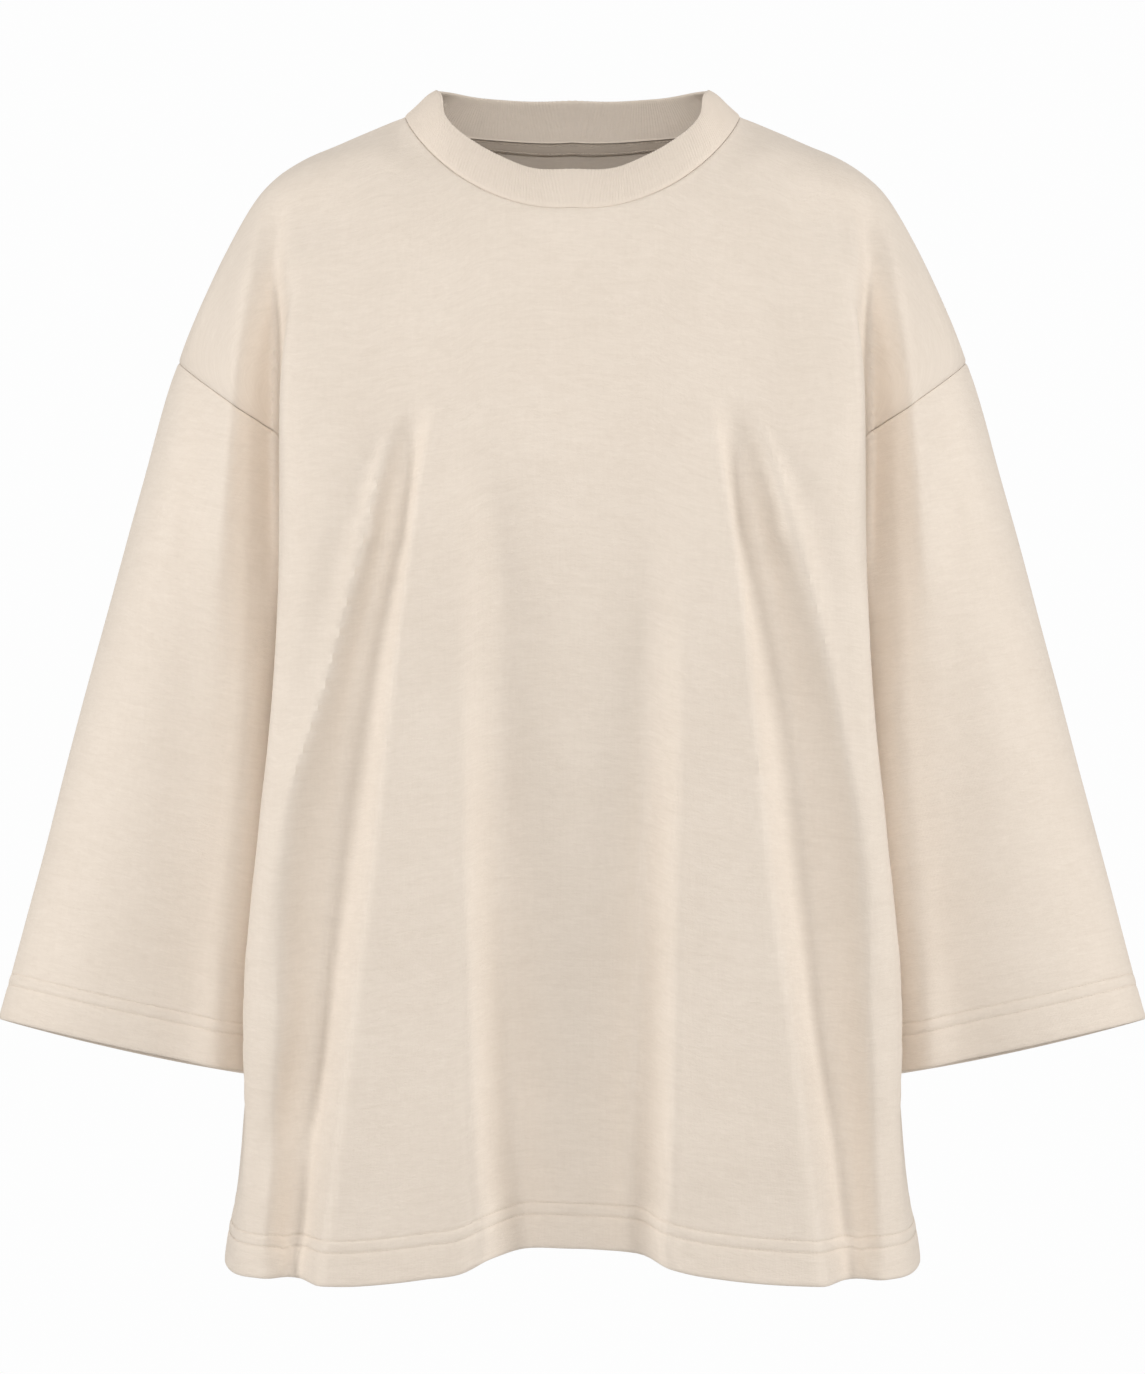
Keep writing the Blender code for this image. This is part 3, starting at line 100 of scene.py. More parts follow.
# sleeve sections: height, outer edge, inner edge, half depth, forward shift of the middle
ARM = table([
    [-0.660, 0.4010, 0.1990, 0.050, -0.026],
    [-0.603, 0.3854, 0.1880, 0.053, -0.023],
    [-0.500, 0.3575, 0.1770, 0.060, -0.017],
    [-0.400, 0.3310, 0.1740, 0.068, -0.010],
    [-0.335, 0.3135, 0.1715, 0.072, -0.006],
    [-0.285, 0.3000, 0.1665, 0.075, -0.003],
    [-0.231, 0.2849, 0.1490, 0.079, 0.000],
    [-0.160, 0.2660, 0.1300, 0.080, 0.002],
    [-0.060, 0.2400, 0.1000, 0.075, 0.004],
    [0.040, 0.2150, 0.0700, 0.070, 0.004]])
ROOF_F, ROOF_B = 0.090, 0.098

Z_DENSE = np.linspace(-0.86, 0.12, 3921)
X_DENSE = np.linspace(0.0, 0.45, 1801)
BODY_DENSE = [smooth_interp(Z_DENSE, BODY[:, 0], BODY[:, i]) for i in range(1, 6)]
ARM_DENSE = [smooth_interp(Z_DENSE, ARM[:, 0], ARM[:, i]) for i in range(1, 5)]
SHOULDER_DENSE = smooth_interp(X_DENSE, SHOULDER[:, 0], SHOULDER[:, 1])
SLOPE_DENSE = np.gradient(SHOULDER_DENSE, X_DENSE)

def body_row(z):
    return [np.interp(z, Z_DENSE, d) for d in BODY_DENSE]

def tuck_shape(y, z):
    q = (y + 0.002 + 0.021 * sstep(-z, 0.30, 0.62)) / (0.100 - 0.030 * sstep(-z, 0.28, 0.62))
    return np.maximum(1 - q * q, 0) ** 1.6

def torso(P):
    x, y, z = P[..., 0], P[..., 1], P[..., 2]
    a, bf, bb, n, tuck = body_row(z)
    a = a - tuck * tuck_shape(y, z)
    u = np.abs(x) / a
    b = np.where(y < 0, bf, bb) * (1 - 0.13 * np.minimum(u, 1.1) ** 2)
    v = np.abs(y) / b
    r = np.maximum((u ** n + v ** n) ** (1 / n), 1e-6)
    gx = r ** (1 - n) * u ** (n - 1) / a
    gy = r ** (1 - n) * v ** (n - 1) / b
    return (r - 1) / np.maximum(np.sqrt(gx * gx + gy * gy), 1.0)

def arm(P):
    x, y, z = np.abs(P[..., 0]), P[..., 1], P[..., 2]
    xo, xi, d, yc = [np.interp(z, Z_DENSE, q) for q in ARM_DENSE]
    w, xc = (xo - xi) / 2, (xo + xi) / 2
    u, v = (x - xc) / w, (y - yc) / d
    r = np.maximum(np.sqrt(u * u + v * v), 1e-6)
    g = np.sqrt((u / w) ** 2 + (v / d) ** 2) / r
    return (r - 1) / g

def roof(P):
    x, y, z = np.abs(P[..., 0]), P[..., 1], P[..., 2]
    zs, sl = np.interp(x, X_DENSE, SHOULDER_DENSE), np.interp(x, X_DENSE, SLOPE_DENSE)
    c = np.where(y < 0, ROOF_F, ROOF_B)
    return (z - zs + y * y / c) / np.sqrt(1 + sl ** 2 + (2 * y / c) ** 2)

def form(P, part=0):
    """plain form of the whole garment; below the underarm part 1 is the body alone, part 2 the sleeve alone"""
    z, y = P[..., 2], P[..., 1]
    k = np.interp(z, [-0.36, -0.300, -0.265, -0.235, -0.20, -0.13, -0.09, -0.04], [0.0004, 0.002, 0.008, 0.011, 0.012, 0.015, 0.026, 0.060])
    t, a = torso(P), arm(P)
    below = 0.06 * sstep(-z, 0.2590, 0.2700)
    f = smin(t + (below if part == 2 else 0), a + (below if part == 1 else 0), k)
    kr = 0.004 + 0.050 * sstep(np.abs(y), 0.0, 0.06) * (1 - 0.80 * sstep(np.abs(P[..., 0]), 0.115, 0.175) * sstep(-z, 0.06, 0.11))
    return smax(f, roof(P), kr)

def form_body(P):
    return form(P, 1)

def form_sleeve(P):
    return form(P, 2)

def grad(f, P, e=2e-4):
    g = np.empty_like(P)
    for i in range(3):
        d = np.zeros(3); d[i] = e
        g[..., i] = (f(P + d) - f(P - d)) / (2 * e)
    return g

def project(f, P, n=12, step=0.004, keep=None):
    P = P.copy()
    for _ in range(n):
        g = grad(f, P)
        gg = np.maximum((g * g).sum(-1), 0.02)
        d = -(f(P) / gg)[..., None] * g
        L = np.linalg.norm(d, axis=-1, keepdims=True)
        d = d * np.minimum(1, step / np.maximum(L, 1e-9))
        if keep is not None:
            d = d * keep[..., None]
        P += d
    return P

# ------------------------------------------------------------------ seam lines
NECK_HALF, NECK_FRONT, NECK_BACK, NECK_ROUND = 0.1130, 0.0860, 0.0545, 2.3
SHOULDER_END = (0.2650, -0.0010, -0.1620)
UNDERARM_X = 0.1535
CUFF_OUT, CUFF_IN = (0.3853, -0.6035), (0.1940, -0.6440)
HEM_Z = -0.7660

def arc_resample(P, fr):
    d = np.r_[0, np.cumsum(np.linalg.norm(np.diff(P, axis=0), axis=1))]
    d /= d[-1]
    return np.stack([np.interp(fr, d, P[:, i]) for i in range(3)], 1)

def drop(P, n=20):
    return project(form, P, n)

def roof_height(x, y):
    return smooth_interp(np.abs(x), SHOULDER[:, 0], SHOULDER[:, 1]) - y * y / np.where(y < 0, ROOF_F, ROOF_B)

def shoulder_y(x):
    return -0.009 + 0.008 * np.clip((x - 0.113) / 0.152, 0, 1)

def neck_half(front, n=80):
    """half of the seam between collar and body, from the middle to the shoulder"""
    b = NECK_FRONT if front else NECK_BACK
    sgn = -1 if front else 1
    t = np.linspace(0, np.pi / 2, 400)
    x = NECK_HALF * np.sin(t) ** (2 / NECK_ROUND)
    y = sgn * b * np.cos(t) ** (2 / NECK_ROUND)
    if front:
        ok = y < shoulder_y(0.113)
    else:
        ok = np.ones_like(y, bool)
    x, y = x[ok], y[ok]
    if front:
        x, y = np.r_[x, NECK_HALF * 0.9985], np.r_[y, shoulder_y(0.113)]
    else:
        # the shoulder seam is a little forward, so the back part of the line runs on to it
        x, y = np.r_[x, NECK_HALF * 0.9985], np.r_[y, shoulder_y(0.113)]
    P = np.stack([x, y, roof_height(x, y)], 1)
    P = arc_resample(P, np.linspace(0, 1, n))
    return drop(P, 6)

def shoulder_seam(n=80):
    x = np.linspace(NECK_HALF * 0.9985, SHOULDER_END[0], n)
    y = shoulder_y(x)
    P = np.stack([x, y, smooth_interp(x, SHOULDER[:, 0], SHOULDER[:, 1])], 1)
    for _ in range(12):
        g = grad(form, P)
        P[:, 2] -= form(P) / np.maximum(g[:, 2], 0.3)
    return arc_resample(P, np.linspace(0, 1, n))

def arm_point(phi, z):
    xo, xi, d, yc = [np.interp(z, Z_DENSE, q) for q in ARM_DENSE]
    w, xc = (xo - xi) / 2, (xo + xi) / 2
    return np.stack([xc + w * np.cos(phi), yc - d * np.sin(phi), z], -1)

def underarm():
    """top of the gap between body and sleeve"""
    z = np.linspace(-0.30, -0.18, 241)
    x = np.linspace(0.13, 0.19, 121)
    Z, X = np.meshgrid(z, x, indexing="ij")
    P = np.stack([X, np.full_like(X, SIDE_Y), Z], -1)
    f = form(P).max(1)
    i = int(np.argmax(f < 0))
    t = f[i - 1] / (f[i - 1] - f[i])
    zz = z[i - 1] + t * (z[i] - z[i - 1])
    xx = x[int(np.argmax(form(P)[i - 1]))]
    return np.array([xx, SIDE_Y, zz])

def armhole(front, n=80):
    """half of the armhole, from the end of the shoulder seam to the underarm"""
    S, U = np.array(shoulder_seam()[-1]), underarm()
    t = np.linspace(0, np.pi, 200)
    c, h = (S + U) / 2, (S - U) / 2
    d = 0.078 if front else 0.078
    P = c + h * np.cos(t)[:, None]
    P[:, 1] += (-d if front else d + 0.004) * np.sin(t) ** 0.9
    keep = np.sin(t) ** 0.5
    P = project(form, P, 25, 0.003, keep=np.clip(keep * 4, 0, 1))
    P[0], P[-1] = S, U
    for _ in range(5):
        P = arc_resample(P, np.linspace(0, 1, 60))
        for _ in range(16):
            P[1:-1] += 0.5 * (0.5 * (P[:-2] + P[2:]) - P[1:-1])
            P[1:-1] = project(form, P[1:-1], 1)
    return arc_resample(P, np.linspace(0, 1, n))

def side_y(z, zu):
    return SIDE_Y - 0.048 * sstep(-z, -zu + 0.02, 0.74)

def body_wall_x(y, z):
    a, bf, bb, n, tuck = body_row(z)
    a = a - tuck * tuck_shape(y, z)
    b = np.where(y < 0, bf, bb) * 0.87
    return a * (1 - np.minimum(np.abs(y) / b, 0.999) ** n) ** (1 / n)

def hem_height(x, y):
    return HEM_Z + 0.0 * np.asarray(x)

def side_seam(n=120):
    U = underarm()
    z = np.linspace(U[2], HEM_Z, n)
    y = side_y(z, U[2])
    x = body_wall_x(y, z)
    P = np.stack([x, y, z], 1)
    P[0] = U
    for _ in range(4):
        P[1:8] += 0.5 * (0.5 * (P[:7] + P[2:9]) - P[1:8])
    P[1:] = project(torso, P[1:], 4)
    P[-1, 2] = hem_height(P[-1, 0], P[-1, 1])
    return P

def hem_line(front, side_end, n=120):
    """bottom edge from the middle to the side seam"""
    a, bf, bb, nn, tuck = body_row(np.array(HEM_Z))
    b = bf if front else bb
    x = side_end[0]
    t = np.linspace(0, np.pi / 2, 600)
    X = a * np.sin(t) ** (2 / nn)
    Y = (-1 if front else 1) * b * np.cos(t) ** (2 / nn) * (1 - 0.13 * (X / a) ** 2)
    if front:
        ok = Y < side_end[1] - 0.002
        X, Y = X[ok], Y[ok]
    else:
        Y2 = np.linspace(0, side_end[1], 30)[1:]
        X, Y = np.r_[X, body_wall_x(Y2, np.full_like(Y2, HEM_Z))], np.r_[Y, Y2]
    P = np.stack([X, Y, hem_height(X, Y)], 1)
    P = np.vstack([P, side_end]) if front else P
    P = arc_resample(P, np.linspace(0, 1, n))
    Q = project(torso, P[:-1], 4)
    P[:-1, :2] = Q[:, :2]
    P[-1] = side_end
    return P

# ------------------------------------------------------------------ panels on the form
V_ARM = 0.325          # share of a panel's length that lies beside the armhole
U_RIDGE = 0.62         # share of a half panel's columns up to the front edge of the body

def ridge(front, n=160):
    """where the front (or back) turns round to the side: from the shoulder seam to the hem"""
    top = shoulder_seam()
    i = int(np.argmin(np.abs(top[:, 0] - 0.190)))
    z = np.linspace(-0.17, HEM_Z, 100)
    a, bf, bb, nn, tuck = body_row(z)
    u = 0.5 ** (1 / nn)
    y = (-bf if front else bb) * u * (1 - 0.13 * u * u)
    low = np.stack([a * u, y, z], 1)
    P = np.vstack([top[i], low])
    P = arc_resample(P, np.linspace(0, 1, n))
    k = np.clip(np.linspace(0, 1, n) * 30, 0, 1)
    P = project(form, P, 25, 0.004, keep=k)
    for _ in range(6):
        m = int(0.35 * n)
        P[1:m] += 0.5 * (0.5 * (P[:m-1] + P[2:m+1]) - P[1:m])
        P[1:m] = project(form, P[1:m], 1)
    P[-1, 2] = hem_height(P[-1, 0], P[-1, 1])
    return arc_resample(P, np.linspace(0, 1, n)), i

def seg(P, fr):
    return arc_resample(P, np.asarray(fr))

def side_edge(front, v):
    A, S = armhole(front), side_seam()
    va, vs = v[v <= V_ARM + 1e-9] / V_ARM, (v[v > V_ARM + 1e-9] - V_ARM) / (1 - V_ARM)
    return np.vstack([seg(A, np.clip(va, 0, 1)), seg(S, vs)])

def coons(T, B, L, R, u, v):
    u, v = u[:, None, None], v[None, :, None]
    # result [col, row, 3]; T,B along cols, L,R along rows
    return ((1 - v) * T[:, None] + v * B[:, None] + (1 - u) * L[None] + u * R[None]
            - ((1 - u) * (1 - v) * T[0] + u * (1 - v) * T[-1] + (1 - u) * v * B[0] + u * v * B[-1]))

NU1, NU2, NVB = 36, 24, 90
BASE_CACHE = {}

def settle(G, n):
    """spread the inner points evenly over the form without folding the net"""
    for it in range(n):
        W, E, S, T = G[:-2, 1:-1], G[2:, 1:-1], G[1:-1, :-2], G[1:-1, 2:]
        xu, xv = (E - W) / 2, (T - S) / 2
        al = (xv * xv).sum(-1, keepdims=True) + 1e-9
        ga = (xu * xu).sum(-1, keepdims=True) + 1e-9
        be = (xu * xv).sum(-1, keepdims=True)
        X = G[2:, 2:] - G[:-2, 2:] - G[2:, :-2] + G[:-2, :-2]
        Q = (al * (W + E) + ga * (S + T) - 0.5 * be * X) / (2 * (al + ga))
        G[1:-1, 1:-1] += 0.8 * (Q - G[1:-1, 1:-1])
        G[1:-1, 1:-1] = project(form_body, G[1:-1, 1:-1], 1, 0.006)
    return G


def base_half(front):
    """fine half panel on the form, [cols, rows, 3]; columns even from the middle to the ridge and on to the side"""
    if front in BASE_CACHE:
        return BASE_CACHE[front]
    v = np.linspace(0, 1, NVB + 1)
    v = np.sort(np.r_[v[np.abs(v - V_ARM) > 0.4 / NVB], V_ARM])
    neck, sh = neck_half(front), shoulder_seam()
    K, ik = ridge(front)
    vw = v + 0.36 * v * (1 - v)
    K = seg(K, smooth_interp(v, [0, 0.08, 0.16, 0.24, V_ARM, 0.5, 0.75, 1.0], [0, 0.165, 0.290, 0.375, 0.440, 0.590, 0.800, 1.0]))
    R = side_edge(front, v)
    c0 = neck[0]
    zc = np.linspace(c0[2], hem_height(0.0, -0.1 if front else 0.1), 120)
    bf = body_row(zc)[1 if front else 2]
    yy = np.where(np.arange(120) < 1, c0[1], (-bf if front else bf))
    C = np.stack([0 * zc, yy, zc], 1)
    # follow the roof first, then the body
    yr = np.sqrt(np.maximum((0.02 - zc) * (ROOF_F if front else ROOF_B), 0))
    C[:, 1] = np.where(yr < bf, yr, bf) * (-1 if front else 1)
    C = project(form, C, 10); C[:, 0] = 0
    C[0] = c0; C[-1, 2] = hem_height(0.0, C[-1, 1])
    C = seg(C, vw)
    side_end = side_seam()[-1]
    hem = hem_line(front, side_end)
    jk = int(np.argmin(np.linalg.norm(hem - K[-1], axis=1)))
    top1 = np.vstack([neck, sh[1:ik + 1]])
    nn = int(round(NU1 * 0.55))
    T1 = np.vstack([seg(neck, np.linspace(0, 1, nn + 1)), seg(sh[:ik + 1], np.linspace(0, 1, NU1 - nn + 1))[1:]])
    B1 = seg(np.vstack([hem[:jk], K[-1]]), np.linspace(0, 1, NU1 + 1))
    G1 = coons(T1, B1, C, K, np.linspace(0, 1, NU1 + 1), v)
    T2 = seg(sh[ik:], np.linspace(0, 1, NU2 + 1)); T2[0] = K[0]
    B2 = seg(np.vstack([K[-1], hem[jk + 1:]]), np.linspace(0, 1, NU2 + 1))
    G2 = coons(T2, B2, K, R, np.linspace(0, 1, NU2 + 1), v)
    # bulge the second patch out so that it lands on the right side of the corner
    G = np.vstack([G1, G2[1:]])
    fixed = G.copy()
    inner = np.zeros(G.shape[:2], bool); inner[1:-1, 1:-1] = True
    for it in range(40):
        G[1:-1, 1:-1] = project(form_body, G[1:-1, 1:-1], 1, 0.006)
    G = settle(G, 220)
    # the middle line lies in the plane of symmetry; let it follow the form between its ends
    G[0, 1:-1, 0] = 0
    BASE_CACHE[front] = (G, v, nn)
    return BASE_CACHE[front]

def sleeve_base(nrow, ring):
    """ring: [2n+1,3] closed armhole from the shoulder end over the front to the underarm and back; returns [cols, rows, 3]"""
    m = len(ring) - 1
    xo, xi, d, yc = [smooth_interp(ring[:, 2], ARM[:, 0], ARM[:, i]) for i in range(1, 5)]
    phi0 = np.arctan2(-(ring[:, 1] - yc) / d, (ring[:, 0] - (xo + xi) / 2) / ((xo - xi) / 2))
    phi0 = np.unwrap(phi0)
    phi0 = phi0 - phi0[0]
    phi0[-1] = 2 * np.pi
    # equal steps of length round the cuff
    t = np.linspace(0, 2 * np.pi, 721)
    E = cuff_point(t)
    s = np.r_[0, np.cumsum(np.linalg.norm(np.diff(E, axis=0), axis=1))]; s /= s[-1]
    rs = np.r_[0, np.cumsum(np.linalg.norm(np.diff(ring, axis=0), axis=1))]; rs /= rs[-1]
    half = m // 2
    # keep shoulder point outside and underarm inside
    rs2 = np.r_[0.5 * rs[:half + 1] / rs[half], 0.5 + 0.5 * (rs[half + 1:] - rs[half]) / (1 - rs[half])]
    phi1 = np.interp(rs2, s, t)
    C = cuff_point(phi1)
    w = np.linspace(0, 1, nrow + 1)
    G = np.empty((m + 1, nrow + 1, 3))
    for j, q in enumerate(w):
        z = ring[:, 2] + (C[:, 2] - ring[:, 2]) * q
        p = phi0 + (phi1 - phi0) * sstep(q, 0, 0.7)
        G[:, j] = arm_point(p, z)
    G[:, 0] = ring
    G[:, -1] = C
    def onto(P):
        z = P[..., 2]
        f1 = project(form_sleeve, P, 1, 0.004)
        return f1
    H = G[:-1]
    for it in range(60):
        Q = H.copy()
        Q[:, 1:-1] = 0.25 * (H[:, :-2] + H[:, 2:] + np.roll(H, 1, 0)[:, 1:-1] + np.roll(H, -1, 0)[:, 1:-1])
        H[:, 1:-1] += (0.6 if it > 10 else 0.0) * (Q - H)[:, 1:-1]
        H[:, 1:-1] = onto(H[:, 1:-1])
    G = np.concatenate([H, H[:1]], 0)
    return G

def cuff_point(phi):
    """on the sleeve's form where the sloping cuff cuts it"""
    z = np.full_like(phi, -0.62)
    for _ in range(12):
        P = arm_point(phi, z)
        t = (P[:, 0] - CUFF_IN[0]) / (CUFF_OUT[0] - CUFF_IN[0])
        zt = CUFF_IN[1] + (CUFF_OUT[1] - CUFF_IN[1]) * t - 0.012 * t * (1 - t) - 0.18 * (P[:, 1] + 0.0494)
        z = zt
    return arm_point(phi, z)

# ------------------------------------------------------------------ relief of the hanging cloth (millimetres)
# front, section by section downward. columns: height; left trough; outer left ridge; inner left ridge; left foot; middle; right foot; inner right ridge; outer right ridge; right trough (each: place across, stand-off)
FRONT = table([
    [-110, -150, 0.0, -115, 0.0, -90, 0.0, -72, 0.0, -40, 0.0, 0, 0.0, 40, 0.0, 72, 0.0, 89, 0.0, 115, 0.0, 150, 0.0],
    [-195, -117, 1.0, -105, 0.0, -93, 1.5, -74, 0.5, -46, 0.0, 0, 0.0, 46, 0.0, 72, 0.5, 91, 1.5, 105, 0.0, 119, 1.0],
    [-240, -127, 4.0, -112, -2.5, -98, 4.5, -73, 2.5, -46, -0.5, 0, 0.0, 46, -0.5, 71, 2.0, 96, 4.5, 112, -2.5, 131, 4.0],
    [-300, -143, 6.0, -126, -5.0, -108, 7.5, -71, 5.0, -47, -1.5, 0, -0.5, 47, -1.5, 70, 4.5, 106, 7.5, 126, -5.0, 154, 6.0],
    [-400, -174, 5.5, -146, -6.5, -121, 11.0, -68, 9.0, -46, -5.0, 3, -2.0, 47, -5.0, 67, 9.0, 119, 11.0, 145, -6.5, 186, 5.0],
    [-500, -197, 4.5, -156, -6.5, -132, 14.5, -65, 13.0, -45, -7.5, 6, -3.5, 46, -7.5, 62, 13.0, 129, 14.5, 155, -6.5, 198, 4.5],
    [-600, -206, 4.0, -166, -6.5, -144, 18.5, -59, 17.0, -42, -9.5, 5, -5.0, 43, -9.5, 59, 17.0, 142, 18.5, 165, -6.5, 206, 4.0],
    [-700, -212, 3.0, -176, -6.0, -154, 22.0, -55, 21.0, -38, -11.0, 0, -7.0, 40, -11.0, 57, 21.0, 153, 22.0, 177, -6.0, 212, 3.0],
    [-770, -216, 2.5, -183, -5.0, -162, 24.0, -48, 23.0, -32, -12.5, 0, -9.0, 36, -12.5, 54, 23.0, 160, 24.0, 184, -5.0, 216, 2.5]])
BACK = table([
    [-110, -150, 0.0, -110, 0.0, -60, 0.0, -30, 0.0, 0, 0.0, 34, 0.0, 66, 0.0, 112, 0.0, 150, 0.0],
    [-200, -150, -0.5, -112, 2.0, -66, 0.0, -34, 0.5, 0, 0.0, 36, 0.5, 70, 0.0, 114, 2.0, 150, -0.5],
    [-300, -156, -2.0, -120, 5.5, -74, -1.5, -38, 2.5, 2, -1.0, 42, 2.5, 80, -1.5, 124, 5.0, 158, -2.0],
    [-400, -164, -3.0, -128, 9.0, -84, -3.0, -42, 5.0, 2, -2.0, 44, 4.5, 90, -3.0, 134, 8.0, 166, -3.0],
    [-500, -174, -4.0, -136, 12.0, -92, -4.0, -46, 7.5, 0, -3.0, 46, 7.0, 98, -4.0, 142, 11.0, 175, -4.0],
    [-600, -184, -4.5, -144, 14.5, -98, -5.0, -50, 10.0, -2, -4.0, 50, 9.0, 104, -5.0, 150, 13.5, 184, -4.5],
    [-700, -193, -4.5, -152, 17.0, -104, -6.0, -54, 12.5, -4, -5.0, 54, 11.5, 110, -6.0, 158, 16.0, 193, -4.5],
    [-770, -199, -4.0, -158, 18.0, -108, -6.5, -57, 14.0, -5, -5.5, 57, 13.0, 114, -6.5, 164, 17.0, 199, -4.0]])
# slanting drapes: face, path across/height top, middle, bottom, stand-off, width on the outer side, on the inner side
DRAPES = table([
    [-1, -62, -215, -46, -285, -28, -360, -2.5, 20, 20],
    [-1, -178, -655, -196, -712, -208, -765, 2.5, 10, 16],
    [1, -96, -215, -128, -330, -172, -470, 3.5, 16, 26],
    [1, 104, -220, 140, -340, 178, -480, 3.2, 16, 26]])
# bottom edge of the front: place across, height
HEM = table([
    [-0.240, -0.7680], [-0.200, -0.7660], [-0.150, -0.7660], [-0.120, -0.7635], [-0.095, -0.7600], [-0.070, -0.7555], [-0.056, -0.7480],
    [-0.042, -0.7445], [0.000, -0.7433], [0.034, -0.7455], [0.047, -0.7465], [0.060, -0.7520], [0.073, -0.7560], [0.098, -0.7605],
    [0.124, -0.7637], [0.150, -0.7657], [0.240, -0.7680]])

def relief(P, N):
    """stand-off of the folds from the plain form, by place and facing"""
    x, y, z = P[..., 0] * 1000, P[..., 1], P[..., 2] * 1000
    D = np.zeros(x.shape)
    for face, T in ((-1, FRONT), (1, BACK)):
        cols = [smooth_interp(z, T[::-1, 0], T[::-1, i]) for i in range(1, T.shape[1])]
        kx = np.stack([np.full_like(x, -260.0)] + cols[0::2] + [np.full_like(x, 260.0)])
        kd = np.stack([np.zeros_like(x)] + cols[1::2] + [np.zeros_like(x)])
        acc = np.zeros_like(x); wsum = 0.0
        soft = (6.0 if face < 0 else 15.0) + 4.0 * sstep(-z, 450, 700)
        for o, w in ((-1.0, 0.06), (-0.66, 0.13), (-0.33, 0.20), (0.0, 0.22), (0.33, 0.20), (0.66, 0.13), (1.0, 0.06)):
            xx = x + o * soft
            v = np.zeros_like(x)
            for i in range(len(kx) - 1):
                t = (xx - kx[i]) / (kx[i + 1] - kx[i])
                v = np.where((t >= 0) & (t < 1), kd[i] + (kd[i + 1] - kd[i]) * t, v)
            acc += w * v; wsum += w
        d = acc / wsum
        for row in DRAPES:
            if row[0] != face or row[7] == 0:
                continue
            px, pz = row[[1, 3, 5]], row[[2, 4, 6]]
            c = np.interp(z, pz[::-1], px[::-1])
            out = np.sign(px[2] - px[0]) if abs(px[2]) > abs(px[0]) else np.sign(px[0])
            dx = (x - c) * np.sign(px[2])
            wdt = np.where(dx > 0, row[8], row[9])
            fade = sstep(z, pz[2] - 25, pz[2] + 50) * (1 - sstep(z, pz[0] - 45, pz[0] + 15))
            d = d + row[7] * np.exp(-(dx / wdt) ** 2) * fade
        w = sstep(face * N[..., 1], 0.15, 0.75) * sstep(face * y, 0.01, 0.05)
        D += d * w
    near_arm = sstep(np.abs(x), 176, 192) * sstep(z, -345, -275)
    return D * 0.001 * (1 - sstep(z, -200, -110)) * (1 - near_arm)

# front armpit: height, place of the body's crisp edge, place of the sleeve head's ridge, how far the cloth between them sinks (mm)
ARMPIT = table([
    [-40, 186, 206, 0.0], [-70, 187, 210, 3.5], [-90, 187, 213, 8.5], [-115, 188, 216, 14.0], [-140, 188, 219, 18.0], [-170, 189, 222, 20.5],
    [-211, 190, 225, 21.5], [-250, 190, 228, 18.0], [-290, 191, 230, 8.0], [-330, 192, 233, 0.0]])

def armpit(P, N):
    """how far the front cloth moves back (+) or forward (-) beside the body's front edge, in metres"""
    x, z = np.abs(P[..., 0]) * 1000, P[..., 2] * 1000
    A = ARMPIT[::-1]
    e, r, d = (smooth_interp(z, A[:, 0], A[:, i]) for i in (1, 2, 3))
    d = np.maximum(d, 0.0)
    q = np.clip((x - e) / (r - e), 0, 1)
    sink = d * sstep(x, e - 1.5, e + 10.5) * (1 - q) ** 1.5 * 1.20
    live = sstep(z, -320, -270) * (1 - sstep(z, -90, -60))
    crest = 1.4 * np.exp(-((x - e + 3.0) / 4.5) ** 2) * live
    head = 3.4 * np.exp(-((x - r) / 8.0) ** 2) - 4.6 * np.exp(-((x - r - 22.0) / 13.0) ** 2)
    head = head * sstep(z, -330, -260) * (1 - sstep(z, -85, -55))
    return 0.001 * (sink - crest - head) * sstep(-P[..., 1], 0.018, 0.050)

